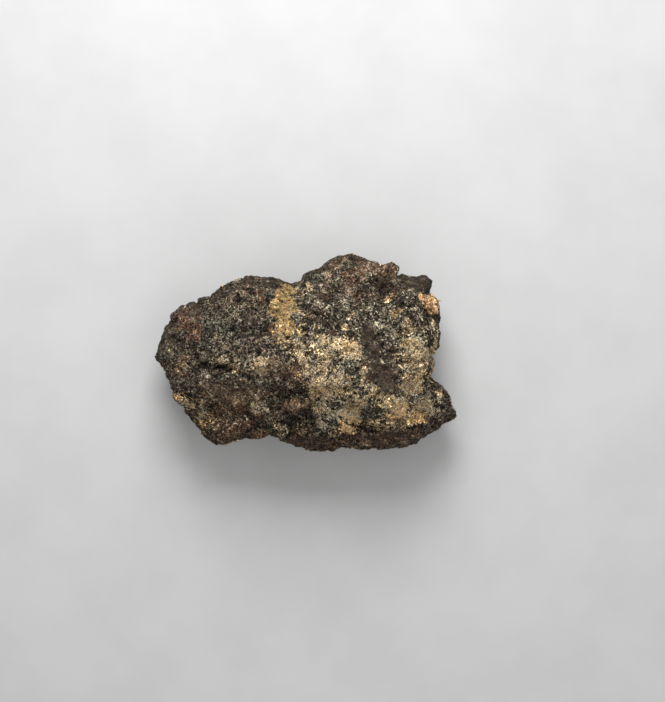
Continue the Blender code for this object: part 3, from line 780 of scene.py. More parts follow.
def broken(points, size, seed):
    """Cells of broken rock: each lattice cell holds one random seed point, and each
    point belongs to its nearest seed. Gives the distances to the nearest and the
    next seed as shares of size, the way from the nearest, and that seed's cell."""
    scaled = points / size
    home = np.floor(scaled)
    first = np.full(len(points), np.inf)
    second = np.full(len(points), np.inf)
    way = np.zeros_like(scaled)
    owner = np.zeros_like(scaled)
    for step in np.ndindex(3, 3, 3):
        cell = home + np.array(step) - 1
        inside = np.stack([cell_random(cell, seed + axis) for axis in range(3)], axis=1)
        offset = scaled - cell - inside
        away = np.sqrt((offset**2).sum(axis=1))
        nearer = away < first
        second = np.where(nearer, first, np.minimum(second, away))
        first = np.where(nearer, away, first)
        way = np.where(nearer[:, None], offset, way)
        owner = np.where(nearer[:, None], cell, owner)
    return first, second, way, owner


def chip_height(points, size, seed, tilt, stagger):
    """Each broken cell is a flat chip: its height is a random slope times the way
    from its seed, plus a random step, and its border is a narrow worn crease."""
    first, second, way, owner = broken(points, size, seed)
    slope = np.stack([cell_random(owner, seed + 31 + axis) for axis in range(3)], axis=1)
    height = tilt * ((2 * slope - 1) * way).sum(axis=1)
    height += stagger * (2 * cell_random(owner, seed + 41) - 1)
    inside = np.clip((second - first) / CREASE_WIDTH, 0, 1)
    return size * (height * inside - CREASE_DEPTH * (1 - inside))


def from_line(plan, line):
    """Each plan point's distance from a line of straight runs."""
    line = np.array(line)
    nearest = np.full(len(plan), np.inf)
    for start, end in zip(line[:-1], line[1:]):
        run = end - start
        offset = plan - start
        share = np.clip(offset @ run / (run @ run), 0, 1)
        away = np.hypot(*(offset - share[:, None] * run).T)
        nearest = np.minimum(nearest, away)
    return nearest


def stained(plan, ragged, stains):
    """The strongest of the stains at each plan point. A stain has its full strength
    in its middle and fades out past its radii, and ragged noise moves its edge."""
    whole, end = STAIN_EDGE
    strongest = np.zeros(len(plan))
    for x, y, along, across, turn, strength in stains.values():
        a = math.radians(turn)
        u = (plan[:, 0] - x) * math.cos(a) + (plan[:, 1] - y) * math.sin(a)
        v = (plan[:, 1] - y) * math.cos(a) - (plan[:, 0] - x) * math.sin(a)
        reach = np.hypot(u / along, v / across) + RAGGEDNESS * ragged
        strongest = np.maximum(strongest, strength * smooth_step(end, whole, reach))
    return strongest


def near_lines(plan, lines):
    """The strongest of the lines at each plan point, each a bell curve across it."""
    strongest = np.zeros(len(plan))
    for line, half_width, strength in lines.values():
        bell = strength * np.exp(-((from_line(plan, line) / half_width) ** 2))
        strongest = np.maximum(strongest, bell)
    return strongest


def new_mesh(name, points, faces):
    """A mesh in metres from points in millimetres and faces of equal side count."""
    mesh = bpy.data.meshes.new(name)
    mesh.vertices.add(len(points))
    mesh.vertices.foreach_set("co", (points * MM).astype(np.float32).ravel())
    mesh.loops.add(faces.size)
    mesh.loops.foreach_set("vertex_index", faces.astype(np.int32).ravel())
    mesh.polygons.add(len(faces))
    starts = np.arange(0, faces.size, faces.shape[1], dtype=np.int32)
    mesh.polygons.foreach_set("loop_start", starts)
    mesh.update(calc_edges=True)
    return mesh


def set_attribute(mesh, name, values):
    """Stores one number for each vertex."""
    layer = mesh.attributes.new(name, "FLOAT", "POINT")
    layer.data.foreach_set("value", values.astype(np.float32))


def add_piece(name, mesh, material):
    """Links a finished piece, which rides on the stone's body and stands for it."""
    piece = bpy.data.objects.new(name, mesh)
    bpy.context.scene.collection.objects.link(piece)
    mesh.materials.append(material)
    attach(piece, "root")
    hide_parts("stone")


def box_grid(counts):
    """The six sides of a box as grids of two parameters each, welded at the edges.
    A vertex is a whole-number point on the sides of a lattice of these counts."""
    points, quads, start = [], [], 0
    for axis in range(3):
        across, along = (axis + 1) % 3, (axis + 2) % 3
        for side in (0, counts[axis]):
            u, v = np.meshgrid(
                np.arange(counts[across] + 1), np.arange(counts[along] + 1), indexing="ij"
            )
            place = np.empty(u.shape + (3,), dtype=np.int64)
            place[..., axis] = side
            place[..., across] = u
            place[..., along] = v
            index = start + np.arange(u.size).reshape(u.shape)
            corners = (index[:-1, :-1], index[1:, :-1], index[1:, 1:], index[:-1, 1:])
            quad = np.stack(corners, axis=-1).reshape(-1, 4)
            quads.append(quad if side else quad[:, ::-1])
            points.append(place.reshape(-1, 3))
            start += u.size
    points, index = np.unique(np.concatenate(points), axis=0, return_inverse=True)
    return points, index.reshape(-1)[np.concatenate(quads)]


def merged_stone():
    """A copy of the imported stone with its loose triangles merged, scaled to a box
    from -1 to 1."""
    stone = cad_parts["stone"].data.copy()
    merged = bmesh.new()
    merged.from_mesh(stone)
    bmesh.ops.remove_doubles(merged, verts=merged.verts[:], dist=1e-7)
    merged.to_mesh(stone)
    merged.free()
    to_box = Matrix.Diagonal((*(1 / (HALF * MM)), 1)) @ Matrix.Translation(-MIDDLE * MM)
    stone.transform(to_box)
    return stone


def wrapped(directions, quads):
    """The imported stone's surface along each direction from the core. The grid stands
    round the stone's copy as a sphere, Shrinkwrap projects it inwards along its
    normals, and the result is scaled back to millimetres."""
    core = (CORE - MIDDLE) / HALF
    sphere = new_mesh("sphere", (core + GRID_START * directions) / MM, quads)
    meshes = (merged_stone(), sphere)
    objects = [bpy.data.objects.new(mesh.name, mesh) for mesh in meshes]
    for made in objects:
        bpy.context.scene.collection.objects.link(made)
    wrap = objects[1].modifiers.new("wrap", "SHRINKWRAP")
    wrap.target = objects[0]
    wrap.wrap_method = "PROJECT"
    wrap.use_negative_direction = True
    wrap.use_positive_direction = False
    bpy.context.view_layer.update()
    evaluated = objects[1].evaluated_get(bpy.context.evaluated_depsgraph_get())
    places = np.empty(len(directions) * 3, dtype=np.float32)
    evaluated.data.vertices.foreach_get("co", places)
    for made in objects:
        bpy.data.objects.remove(made)
    for mesh in meshes:
        bpy.data.meshes.remove(mesh)
    return places.reshape(-1, 3).astype(float) * HALF + MIDDLE


def vertex_normals(points, quads):
    """The mean of the faces' normals round each vertex, each face's normal being
    the cross product of its diagonals."""
    corners = points[quads]
    faces = np.cross(corners[:, 2] - corners[:, 0], corners[:, 3] - corners[:, 1])
    total = np.zeros_like(points)
    for axis in range(3):
        weights = np.repeat(faces[:, axis], 4)
        total[:, axis] = np.bincount(quads.ravel(), weights, len(points))
    return total / np.linalg.norm(total, axis=1)[:, None]


def smoothed(values, quads, passes, shares):
    """In every pass each vertex moves by the shares, one after another, of the way
    to the mean of its neighbours. A share below 0 moves it away from the mean."""
    ends = np.concatenate([quads[:, (k, (k + 1) % 4)] for k in range(4)])
    ends = np.concatenate((ends, ends[:, ::-1]))
    count = np.bincount(ends[:, 0], minlength=len(values))[:, None]
    values = values.copy()
    for share in shares * passes:
        mean = np.stack(
            [np.bincount(ends[:, 0], column[ends[:, 1]], len(values)) for column in values.T],
            axis=1,
        )
        values += share * (mean / count - values)
    return values


def crown_plan(points):
    """The points' plan, pushed about by noise so that no stain or crack is smooth."""
    shifts = [
        PUSH * noise(points, PUSH_SIZES[0], seed) + PUSH * noise(points, PUSH_SIZES[1], seed + 1)
        for seed in (101, 103)
    ]
    return points[:, :2] + np.stack(shifts, axis=1)


def hidden_ground(points):
    """Shares of ground on the hidden sides: each kind grows from 0 to its greatest
    share as a noise rises, and the broader noises make the larger patches."""
    broad = rough_noise(points, size=1.3, seed=11)
    narrow = rough_noise(points, size=0.9, seed=13)
    deep = rough_noise(points, size=0.6, seed=19)
    return {
        "tan": 0.65 * smooth_step(0.05, 0.75, broad),
        "ochre": 0.8 * smooth_step(0.62, 0.95, narrow),
        "rust": 0.65 * smooth_step(0.05, 0.60, -narrow),
        "shade": 0.6 * smooth_step(0.25, 0.85, deep),
        "smooth": 0.6 * smooth_step(0.35, 0.90, -broad),
        "dust": 0.08 + 0.7 * smooth_step(0.0, 0.8, broad),
    }


def painted_rim_shade(normals, shares):
    """Painted shade on the crown's steep rims, set by how far the skin leans. It fades
    towards level ground and towards the underside, and tan and salmon stains stay
    clear of it."""
    steep = smooth_step(0.74, 0.34, normals[:, 2]) * smooth_step(-0.20, 0.15, normals[:, 2])
    pale = np.maximum(shares["tan"], shares["salmon"])
    return PAINTED_RIM_SHADE * steep * smooth_step(1.2, 0.5, pale)


def ground_of(points, normals):
    """How much of the skin each kind of ground covers at each vertex. The crown has
    its stains, and the hidden sides have patches of noise. The sum of a
    stain's strength and patchy noise goes through a smooth step, which gives its
    cover, and the strongest stains of the calm kinds cover more than fully, so
    that no fray opens them. Smooth and shaded ground holds little dust."""
    plan = crown_plan(points)
    ragged = rough_noise(points, size=0.30, seed=7, layers=4, fade=0.85)
    crown = smooth_step(-0.08, 0.25, normals[:, 2])
    hidden = hidden_ground(points)
    shares = {kind: stained(plan, ragged, stains) for kind, stains in STAINS.items()}
    shares["dust"] = stained(plan, ragged, SPECKLED)
    ground = {}
    for number, (kind, share) in enumerate(shares.items()):
        share = crown * share + (1 - crown) * hidden.get(kind, 0.0)
        # Steep rims get painted shade on top of the table's.
        if kind == "shade":
            share = np.maximum(share, painted_rim_shade(normals, shares))
        level = share + PATCHINESS * patches(points, size=0.18, seed=301 + 11 * number)
        if kind == "dust":
            ground[kind] = np.minimum(share, 1) * smooth_step(*DUST_COVER, level)
        else:
            ground[kind] = smooth_step(*COVER, level) * smooth_step(0.02, 0.20, share)
        if kind in CALM:
            ground[kind] *= 1 + FIRMNESS * smooth_step(*FIRM, share)
    broken_up = smooth_step(-0.7, 0.1, noise(points, size=0.22, seed=23))
    ground["crack"] = crown * near_lines(plan, CRACKS) * broken_up
    ground["vein"] = crown * near_lines(plan, VEINS)
    ground["clump"] = smooth_step(-1.6, 1.6, patches(points, size=0.14, seed=401))
    ground["dust"] *= (1 - 0.9 * ground["smooth"]) * (1 - 0.7 * ground["shade"])
    return ground


def skin_relief(points, normals, ground, settings):
    """How far the skin stands out of the solid: chips of three sizes, round pits,
    cracks and thin layers along the near band. Smooth ground keeps little of it,
    and the steep sides have lower chips than the crown."""
    chip = settings.chip / MM
    bend = np.stack([noise(points, 0.24, seed) for seed in (61, 62, 63)], axis=1)
    bent = points + 0.05 * bend
    level = 0.45 + 0.85 * smooth_step(0.30, 0.75, normals[:, 2])
    relief = level * chip_height(bent, chip, seed=201, tilt=0.20, stagger=0.05)
    relief += level * chip_height(bent, chip * 0.45, seed=211, tilt=0.16, stagger=0.04)
    relief += chip_height(points, chip * 0.22, seed=221, tilt=0.09, stagger=0.03)
    relief += FINE_HEIGHT * rough_noise(points, size=0.12, seed=231, layers=2, fade=0.6)
    first, _, _, owner = broken(points, PIT_SPACING, seed=241)
    open_pit = cell_random(owner, seed=251) < PIT_SHARE
    relief -= PIT_DEPTH * open_pit * smooth_step(0.40, 0.10, first)
    relief *= 1 - 0.75 * ground["smooth"]
    near_band = smooth_step(-1.75, -2.05, points[:, 1])
    waver = 2.2 * noise(points, size=0.5, seed=71)
    relief += LAYER_HEIGHT * near_band * np.sin(points[:, 2] * LAYER_WAVE + waver)
    relief += CLUMP_HEIGHT * (ground["clump"] - 0.5) * (1 - 0.7 * ground["smooth"])
    relief -= SHADE_DEPTH * ground["shade"] + ground["crack"] * CRACK_DEPTH
    relief += VEIN_HEIGHT * ground["vein"]
    for x, y, radius, out in SWELLS.values():
        away = np.hypot(points[:, 0] - x, points[:, 1] - y)
        relief += out * np.exp(-((away / radius) ** 2))
    return settings.relief * relief + RISE


class Nodes:
    """A material's node tree, with short ways to add linked nodes. Places are read
    from the piece's own coordinates and turned to millimetres."""

    def __init__(self, name):
        self.material = bpy.data.materials.new(name)
        self.material.use_nodes = True
        self.tree = self.material.node_tree
        self.shader = self.tree.nodes["Principled BSDF"]
        self.coordinates = self.tree.nodes.new("ShaderNodeTexCoord").outputs["Object"]

    def add(self, kind, **inputs):
        """A node of that kind, with each named input linked or set."""
        node = self.tree.nodes.new(kind)
        for name, value in inputs.items():
            self.feed(node.inputs[name], value)
        return node

    def feed(self, socket, value):
        """Links a socket to another node's output, or sets its value."""
        if isinstance(value, bpy.types.NodeSocket):
            self.tree.links.new(value, socket)
        elif socket.type == "RGBA":
            socket.default_value = (*value, 1.0)
        else:
            socket.default_value = value

    def math(self, operation, *values):
        """A Math node's result."""
        node = self.tree.nodes.new("ShaderNodeMath")
        node.operation = operation
        for socket, value in zip(node.inputs, values):
            self.feed(socket, value)
        return node.outputs[0]

    def ramp(self, value, low, high, to_low=0.0, to_high=1.0):
        """The value's range from low to high, spread smoothly over another range."""
        node = self.tree.nodes.new("ShaderNodeMapRange")
        node.interpolation_type = "SMOOTHSTEP"
        self.feed(node.inputs["Value"], value)
        self.feed(node.inputs["From Min"], low)
        self.feed(node.inputs["From Max"], high)
        self.feed(node.inputs["To Min"], to_low)
        self.feed(node.inputs["To Max"], to_high)
        return node.outputs["Result"]

    def mix(self, factor, first, second, blend="MIX"):
        """Two colours mixed by a factor."""
        node = self.tree.nodes.new("ShaderNodeMix")
        node.data_type = "RGBA"
        node.blend_type = blend
        inputs = {socket.identifier: socket for socket in node.inputs}
        self.feed(inputs["Factor_Float"], factor)
        self.feed(inputs["A_Color"], first)
        self.feed(inputs["B_Color"], second)
        outputs = {socket.identifier: socket for socket in node.outputs}
        return outputs["Result_Color"]

    def shaded(self, colour, factor):
        """A colour multiplied by a factor or by another colour."""
        return self.mix(1.0, colour, factor, "MULTIPLY")

    def attribute(self, name):
        """A number that the mesh stores at its vertices."""
        node = self.tree.nodes.new("ShaderNodeAttribute")
        node.attribute_name = name
        return node.outputs["Fac"]

    def place(self, shift):
        """The piece's own coordinates in millimetres, moved by a shift."""
        mapping = self.add("ShaderNodeMapping", Vector=self.coordinates)
        mapping.inputs["Location"].default_value = (shift, 1.7 * shift, -0.6 * shift)
        mapping.inputs["Scale"].default_value = (1 / MM,) * 3
        return mapping.outputs["Vector"]

    def texture_noise(self, scale, detail=3.0, roughness=0.6, shift=0.0, distortion=0.0):
        """Noise from 0 to 1, with this many lumps to a millimetre."""
        node = self.add(
            "ShaderNodeTexNoise",
            Vector=self.place(shift),
            Scale=scale,
            Detail=detail,
            Roughness=roughness,
            Distortion=distortion,
        )
        return node.outputs["Fac"]

    def threads(self, scale, width, shift, dust):
        """Wandering lines where a noise crosses its middle value. Gives them as
        broken up by a second noise, and again with more let through where there is
        more dust."""
        crossed = self.texture_noise(scale, 1.0, 0.5, shift, 0.8)
        away = self.math("ABSOLUTE", self.math("SUBTRACT", crossed, 0.5))
        line = self.ramp(away, width, 0.0)
        gate = self.texture_noise(scale * 0.8, 1.0, 0.5, shift + 5.0)
        dusty_gate = self.math("MULTIPLY_ADD", dust, DUST_OPENS, gate)
        evenly = self.math("MULTIPLY", line, self.ramp(gate, *GATE))
        dusty = self.math("MULTIPLY", line, self.ramp(dusty_gate, *DUSTY_GATE))
        return evenly, dusty


def crust_colour(nodes, settings):
    """The crust's three hues, in patches of noise."""
    first = nodes.texture_noise(scale=2.0, detail=6.0, roughness=0.7, shift=3.0)
    second = nodes.texture_noise(scale=3.0, detail=6.0, roughness=0.7, shift=11.0)
    colour = nodes.mix(nodes.ramp(first, 0.42, 0.58), settings.crust_green, settings.crust_brown)
    return nodes.mix(nodes.ramp(second, 0.50, 0.60), colour, settings.crust_purple)


def stained_colour(nodes, settings, colour):
    """Each stain in turn over the colour, with its edge frayed by a fine noise. The
    painted shade of the cracks comes last."""
    frays = [
        nodes.texture_noise(scale=11.0, detail=4.0, roughness=0.8, shift=shift, distortion=0.6)
        for shift in (21.0, 33.0)
    ]
    for number, kind in enumerate(STAINS):
        stored = nodes.attribute(kind)
        level = nodes.math("MULTIPLY_ADD", frays[number % 2], STAIN_FRAY, stored)
        level = nodes.ramp(level, *STAIN_LIMITS)
        cover = nodes.math("MULTIPLY", level, nodes.ramp(stored, 0.02, 0.25))
        colour = nodes.mix(cover, colour, getattr(settings, kind))
    # Painted shade in the cracks, laid in the shade colour.
    crack = nodes.math("MULTIPLY", nodes.attribute("crack"), 0.8)
    return nodes.mix(crack, colour, settings.shade)


def gritty_colour(nodes, colour, fine, dots, dust):
    """The colour made lighter and darker by lumps, clumps, grit and specks. Smooth
    and calm ground keeps less of the grit and the specks, and the dark gaps of the
    grit are warmer."""
    lumps = nodes.texture_noise(scale=3.0, detail=3.0, roughness=0.6, shift=37.0)
    colour = nodes.shaded(colour, nodes.ramp(lumps, *LUMPS))
    gap = nodes.ramp(dust, *GAPS_BY_DUST)
    colour = nodes.shaded(colour, nodes.ramp(nodes.attribute("clump"), *CLUMPS, gap, CLUMP_TOP))
    smooth = nodes.attribute("smooth")
    calm = smooth
    for kind, share in CALM.items():
        calm = nodes.math("MAXIMUM", calm, nodes.math("MULTIPLY", nodes.attribute(kind), share))
    grit = nodes.ramp(fine, *GRIT)
    calm_grit = nodes.math("MULTIPLY_ADD", nodes.math("SUBTRACT", grit, 1.0), 0.45, 1.0)
    colour = nodes.shaded(colour, nodes.mix(calm, grit, calm_grit))
    even = nodes.math("MAXIMUM", smooth, nodes.math("MULTIPLY", calm, 0.75))
    colour = nodes.shaded(colour, nodes.mix(even, nodes.ramp(dots, *SPECKS), WHITE))
    return nodes.shaded(colour, nodes.mix(nodes.ramp(fine, 0.42, 0.54), WARM_GAPS, WHITE))


def dusted_colour(nodes, settings, colour, threads, pale, dots, dust):
    """Threads that lighten the colour, then cream where the pale threads and the
    veins lie. The pale threads thin out on bare and shaded ground, between clumps
    and where there is little dust. Dots fray the veins and speckle the cream."""
    between = nodes.ramp(dust, *BETWEEN_THREADS)
    glow = nodes.math("MULTIPLY_ADD", threads, nodes.ramp(dust, *THREAD_GLOW), between)
    colour = nodes.shaded(colour, glow)
    pale = nodes.math("MULTIPLY", pale, nodes.ramp(dust, *PALE_BY_DUST))
    pale = nodes.math("MULTIPLY", pale, nodes.ramp(nodes.attribute("clump"), *PALE_BY_CLUMP))
    bare = nodes.math("MAXIMUM", nodes.attribute("smooth"), nodes.attribute("shade"))
    pale = nodes.math("MULTIPLY", pale, nodes.ramp(bare, *PALE_BY_BARENESS))
    vein = nodes.attribute("vein")
    frayed = nodes.ramp(nodes.math("MULTIPLY_ADD", dots, VEIN_FRAY, vein), *VEIN_LIMITS)
    frayed = nodes.math("MULTIPLY", frayed, nodes.ramp(vein, 0.05, 0.50))
    cream = nodes.mix(nodes.attribute("tan"), settings.dust, settings.warm_dust)
    cream = nodes.shaded(cream, nodes.ramp(dots, *CREAM_SPECKS))
    return nodes.mix(nodes.math("MAXIMUM", pale, frayed), colour, cream)


def skin_material(settings):
    """Crust, stains, grit and dust, one over the other. The bump has the grit's and
    the threads' own noise, and the smooth hollow is a little less rough."""
    nodes = Nodes("stone_skin")
    fine = nodes.texture_noise(scale=10.0, detail=5.0, roughness=0.85, shift=41.0, distortion=0.8)
    dots = nodes.texture_noise(scale=19.0, detail=2.0, roughness=0.7, shift=71.0, distortion=0.4)
    dust = nodes.ramp(nodes.attribute("dust"), 0.0, 0.7)
    wide, dusty_wide = nodes.threads(*WIDE_THREADS, dust)
    thin, dusty_thin = nodes.threads(*THIN_THREADS, dust)
    threads = nodes.math("MAXIMUM", wide, thin)
    pale = nodes.math("MAXIMUM", dusty_wide, dusty_thin)
    colour = stained_colour(nodes, settings, crust_colour(nodes, settings))
    colour = gritty_colour(nodes, colour, fine, dots, dust)
    colour = dusted_colour(nodes, settings, colour, threads, pale, dots, dust)
    nodes.feed(nodes.shader.inputs["Base Color"], colour)
    rough = nodes.math("MULTIPLY_ADD", nodes.attribute("smooth"), -0.20, 0.85)
    nodes.feed(nodes.shader.inputs["Roughness"], rough)
    nodes.shader.inputs["Specular IOR Level"].default_value = 0.18
    height = nodes.math("MULTIPLY_ADD", threads, 0.30, fine)
    bump = nodes.add("ShaderNodeBump", Height=height, Strength=1.0, Distance=0.045 * MM)
    nodes.feed(nodes.shader.inputs["Normal"], bump.outputs["Normal"])
    return nodes.material


def grain_material(name, low, high, warm, roughness):
    """One kind of mineral: its colour goes from low to high by the stored shade of
    each grain and towards warm by its stored warmth, with some mottling inside."""
    nodes = Nodes(name)
    mixed = nodes.mix(nodes.attribute("shade"), low, high)
    warmth = nodes.math("MULTIPLY", nodes.attribute("warmth"), 0.7)
    mixed = nodes.mix(warmth, mixed, warm)
    mottle = nodes.texture_noise(scale=30.0, detail=2.0)
    mottle = nodes.ramp(mottle, low=0.3, high=0.7, to_low=0.6, to_high=1.25)
    nodes.feed(nodes.shader.inputs["Base Color"], nodes.shaded(mixed, mottle))
    nodes.shader.inputs["Roughness"].default_value = roughness
    nodes.shader.inputs["Specular IOR Level"].default_value = 0.25
    return nodes.material


def grain_template():
    """A lump with 20 flat faces, as its points and triangles."""
    lump = bmesh.new()
    bmesh.ops.create_icosphere(lump, subdivisions=1, radius=1.0)
    points = np.array([vertex.co for vertex in lump.verts])
    faces = np.array([[vertex.index for vertex in face.verts] for face in lump.faces])
    lump.free()
    return points, faces


def unit(vectors):
    """The vectors at length 1."""
    return vectors / np.linalg.norm(vectors, axis=-1)[..., None]


def read_skin():
    """The finished skin's points in millimetres, its faces and its stored numbers,
    none of them above 1."""
    skin = bpy.data.objects.get("stone_skin")
    if skin is None:
        raise RuntimeError("the stone's skin has to be made before its grains")
    mesh = skin.data
    points = np.empty(len(mesh.vertices) * 3, dtype=np.float32)
    mesh.vertices.foreach_get("co", points)
    quads = np.empty(len(mesh.loops), dtype=np.int32)
    mesh.loops.foreach_get("vertex_index", quads)
    stored = {}
    for kind in (*STAINS, "dust", "clump"):
        stored[kind] = np.empty(len(mesh.vertices), dtype=np.float32)
        mesh.attributes[kind].data.foreach_get("value", stored[kind])
        stored[kind] = np.minimum(stored[kind], 1)
    return points.reshape(-1, 3).astype(float) / MM, quads.reshape(-1, 4), stored


def grain_fields(ground):
    """For each kind of grain, how thickly it lies at each vertex of the skin, and
    how far the ground there turns it orange."""
    dust = ground["dust"]
    clumped = smooth_step(0.25, 0.75, ground["clump"])
    orange = np.clip(ground["ochre"] + ground["salmon"], 0, 1)
    sandy = np.clip(orange + ground["mustard"] + 0.8 * ground["tan"], 0, 1)
    open_ground = (1 - 0.9 * ground["smooth"]) * (1 - 0.8 * ground["shade"])
    none = np.zeros_like(dust)
    return {
        "cream": (dust * open_ground * (0.1 + clumped), 0.35 * sandy),
        "tan": ((sandy + 0.02) * open_ground * (0.15 + clumped), orange),
        "rust": ((ground["rust"] + 0.04) * (1 - dust), none),
        "dark": ((1 - dust) * open_ground, none),
    }


def scattered(points, quads, density, warmth, count, random):
    """Random places on the skin: faces drawn by their area times the density at
    their corners, and a random spot on each as a blend of its four corners. Gives
    the spots, the skin's normals there and the ground's warmth."""
    corners = points[quads]
    cross = np.cross(corners[:, 2] - corners[:, 0], corners[:, 3] - corners[:, 1])
    weight = np.linalg.norm(cross, axis=1) * density[quads].mean(axis=1)
    face = random.choice(len(quads), size=count, p=weight / weight.sum())
    u, v = random.random((2, count, 1))
    a, b, c, d = (corners[face, k] for k in range(4))
    spot = (1 - u) * (1 - v) * a + u * (1 - v) * b + u * v * c + (1 - u) * v * d
    return spot, unit(cross[face]), warmth[quads[face, 0]]


def grain_mesh(name, places, radii, stretch, random):
    """Every grain is the 20-faced lump with its corners pushed in and out, drawn
    out along the skin, flattened against it and bent by a parabola. It is turned
    at random about the skin's normal, tipped a little and sunk into the skin. What
    would reach under the floor is pressed flat on it."""
    spots, normals, warmth = places
    lump, faces = grain_template()
    count = len(spots)
    shape = lump * random.uniform(*DENTS, (count, len(lump), 1))
    shape = shape * random.uniform(*stretch, (count, 1, 3))
    bend = random.uniform(-BEND, BEND, (count, 1))
    shape[..., 1] += bend * shape[..., 0] ** 2
    up = unit(normals + random.normal(scale=TIP, size=(count, 3)))
    along = unit(np.cross(up, random.normal(size=(count, 3))))
    frames = np.stack((along, np.cross(up, along), up), axis=1)
    middles = spots + up * (radii * random.uniform(-SUNK, 0.0, count))[:, None]
    points = middles[:, None] + radii[:, None, None] * np.einsum("nij,njk->nik", shape, frames)
    all_faces = faces + len(lump) * np.arange(count)[:, None, None]
    points[..., 2] = np.maximum(points[..., 2], LOW[2])
    mesh = new_mesh(name, points.reshape(-1, 3), all_faces.reshape(-1, 3))
    set_attribute(mesh, "shade", np.repeat(random.random(count) ** 1.5, len(lump)))
    set_attribute(mesh, "warmth", np.repeat(warmth, len(lump)))
    return mesh


class METEORITE_OT_stone_skin(bpy.types.Operator):
    """Lay the stone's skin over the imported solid"""

    bl_idname = "meteorite.stone_skin"
    bl_label = "Stone Skin"

    def execute(self, context):
        settings = context.scene.meteorite_skin
        spacing = settings.spacing / MM
        counts = np.round(2 * HALF / spacing).astype(int)
        lattice, quads = box_grid(counts)
        share = 2 * lattice / counts - 1
        directions = unit(np.tan(GRID_BULGE * share) / math.tan(GRID_BULGE))
        points = smoothed(wrapped(directions, quads), quads, 2, KEEPS_SIZE)
        normals = vertex_normals(smoothed(points, quads, 6, SOFTENS), quads)
        ground = ground_of(points, normals)
        points = points + normals * skin_relief(points, normals, ground, settings)[:, None]
        points[:, 2] = np.maximum(points[:, 2], LOW[2])
        mesh = new_mesh("stone_skin", points, quads)
        mesh.shade_smooth()
        for kind, cover in ground.items():
            set_attribute(mesh, kind, cover)
        add_piece("stone_skin", mesh, skin_material(settings))
        return {"FINISHED"}


class METEORITE_OT_mineral_grains(bpy.types.Operator):
    """Scatter cream, tan, rusty and dark grains over the skin"""

    bl_idname = "meteorite.mineral_grains"
    bl_label = "Mineral Grains"

    def execute(self, context):
        settings = context.scene.meteorite_grains
        points, quads, ground = read_skin()
        fields = grain_fields(ground)
        for number, (kind, looks) in enumerate(GRAINS.items()):
            name = kind + "_grains"
            darkest, scale, stretch, roughness = looks
            random = np.random.default_rng(500 + number)
            places = scattered(points, quads, *fields[kind], settings.count, random)
            radii = np.exp(settings.spread * random.normal(size=settings.count))
            radii = scale * settings.size / MM * np.clip(radii, *SIZE_LIMITS)
            mesh = grain_mesh(name, places, radii, stretch, random)
            high = getattr(settings, kind)
            low = [darkest * channel for channel in high]
            add_piece(name, mesh, grain_material(name, low, high, settings.warm, roughness))
        return {"FINISHED"}


def floor_material(colour):
    """A pale matt floor with the faintest mottling."""
    nodes = Nodes("pale_floor")
    tone = nodes.texture_noise(scale=0.4, detail=3.0)
    tone = nodes.ramp(tone, low=0.3, high=0.7, to_low=0.97, to_high=1.03)
    nodes.feed(nodes.shader.inputs["Base Color"], nodes.shaded(colour, tone))
    nodes.shader.inputs["Roughness"].default_value = 0.9
    nodes.shader.inputs["Specular IOR Level"].default_value = 0.1
    return nodes.material


def add_floor(colour):
    """One wide square at the height that the stone rests at."""
    square = np.array(((-1, -1, 0), (1, -1, 0), (1, 1, 0), (-1, 1, 0)))
    mesh = new_mesh("floor", FLOOR_REACH * square, np.array(((0, 1, 2, 3),)))
    mesh.materials.append(floor_material(colour))
    floor = bpy.data.objects.new("floor", mesh)
    bpy.context.scene.collection.objects.link(floor)


def add_area_light(name, place, size, power):
    """A square soft light at a place, turned to the stone, all in millimetres."""
    light = bpy.data.lights.new(name, "AREA")
    light.size = size * MM
    light.energy = power
    lamp = bpy.data.objects.new(name, light)
    lamp.location = [value * MM for value in place]
    way = Vector(LIGHT_AIM) - Vector(place)
    lamp.rotation_euler = way.to_track_quat("-Z", "Y").to_euler()
    lamp.visible_camera = False
    bpy.context.scene.collection.objects.link(lamp)


def add_sky(strength):
    """Even white light from all round."""
    world = bpy.data.worlds.new("sky")
    world.use_nodes = True
    background = world.node_tree.nodes["Background"]
    background.inputs["Color"].default_value = (*WHITE, 1.0)
    background.inputs["Strength"].default_value = strength
    bpy.context.scene.world = world


def add_camera(height):
    """A camera that looks straight down on the crown, with the lens that gives the
    frame's height its true length on the crown."""
    x, y, z = CROWN_SPOT
    camera = bpy.data.cameras.new("camera")
    camera.sensor_width = SENSOR
    camera.lens = SENSOR * (height / MM) / (FRAME_HEIGHT / PIXELS_A_MM)
    camera.clip_start = 0.001
    camera.clip_end = 10.0
    holder = bpy.data.objects.new("camera", camera)
    holder.location = (x * MM, y * MM, height + z * MM)
    bpy.context.scene.collection.objects.link(holder)
    bpy.context.scene.camera = holder


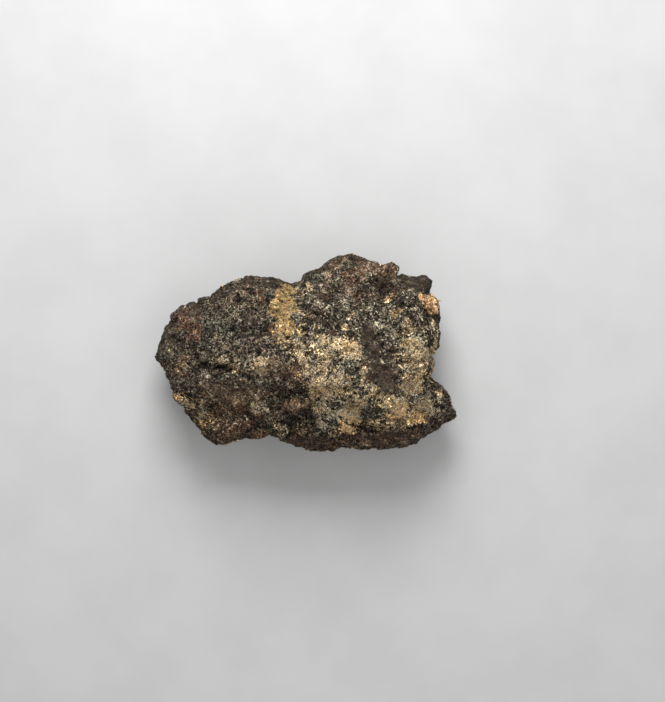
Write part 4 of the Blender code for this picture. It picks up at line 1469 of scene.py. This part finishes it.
class METEORITE_OT_stage(bpy.types.Operator):
    """Set the pale floor, the soft lights and the camera that looks straight down"""

    bl_idname = "meteorite.stage"
    bl_label = "Stage"

    def execute(self, context):
        settings = context.scene.meteorite_stage
        add_floor(settings.floor)
        key_power = settings.key_power
        add_area_light("key", place=(-1.0, 23.0, 22.0), size=18.0, power=key_power)
        add_area_light("fill", place=(24.0, -40.0, 50.0), size=60.0, power=key_power * 0.8)
        add_sky(settings.sky)
        add_camera(settings.camera_height)
        context.scene.view_settings.view_transform = "Standard"
        return {"FINISHED"}


class METEORITE_PT_sidebar(bpy.types.Panel):
    """The meteorite's pieces and their settings"""

    bl_label = "Meteorite"
    bl_idname = "METEORITE_PT_sidebar"
    bl_space_type = "VIEW_3D"
    bl_region_type = "UI"
    bl_category = "Meteorite"

    def draw(self, context):
        groups = (
            (context.scene.meteorite_skin, METEORITE_OT_stone_skin),
            (context.scene.meteorite_grains, METEORITE_OT_mineral_grains),
            (context.scene.meteorite_stage, METEORITE_OT_stage),
        )
        for settings, operator in groups:
            box = self.layout.box()
            for name in settings.bl_rna.properties.keys():
                if name not in ("name", "rna_type"):
                    box.prop(settings, name)
            box.operator(operator.bl_idname)


CLASSES = (
    StoneSkinSettings,
    GrainSettings,
    StageSettings,
    METEORITE_OT_stone_skin,
    METEORITE_OT_mineral_grains,
    METEORITE_OT_stage,
    METEORITE_PT_sidebar,
)


def register():
    """Adds the classes and their settings to Blender."""
    for made in CLASSES:
        bpy.utils.register_class(made)
    scene = bpy.types.Scene
    scene.meteorite_skin = bpy.props.PointerProperty(type=StoneSkinSettings)
    scene.meteorite_grains = bpy.props.PointerProperty(type=GrainSettings)
    scene.meteorite_stage = bpy.props.PointerProperty(type=StageSettings)


def unregister():
    """Takes the settings and the classes out again."""
    for name in ("meteorite_skin", "meteorite_grains", "meteorite_stage"):
        delattr(bpy.types.Scene, name)
    for made in reversed(CLASSES):
        bpy.utils.unregister_class(made)


def main():
    """Makes every piece and the stage."""
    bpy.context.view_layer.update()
    register()
    bpy.ops.meteorite.stone_skin()
    bpy.ops.meteorite.mineral_grains()
    bpy.ops.meteorite.stage()


if __name__ == "__main__":
    main()
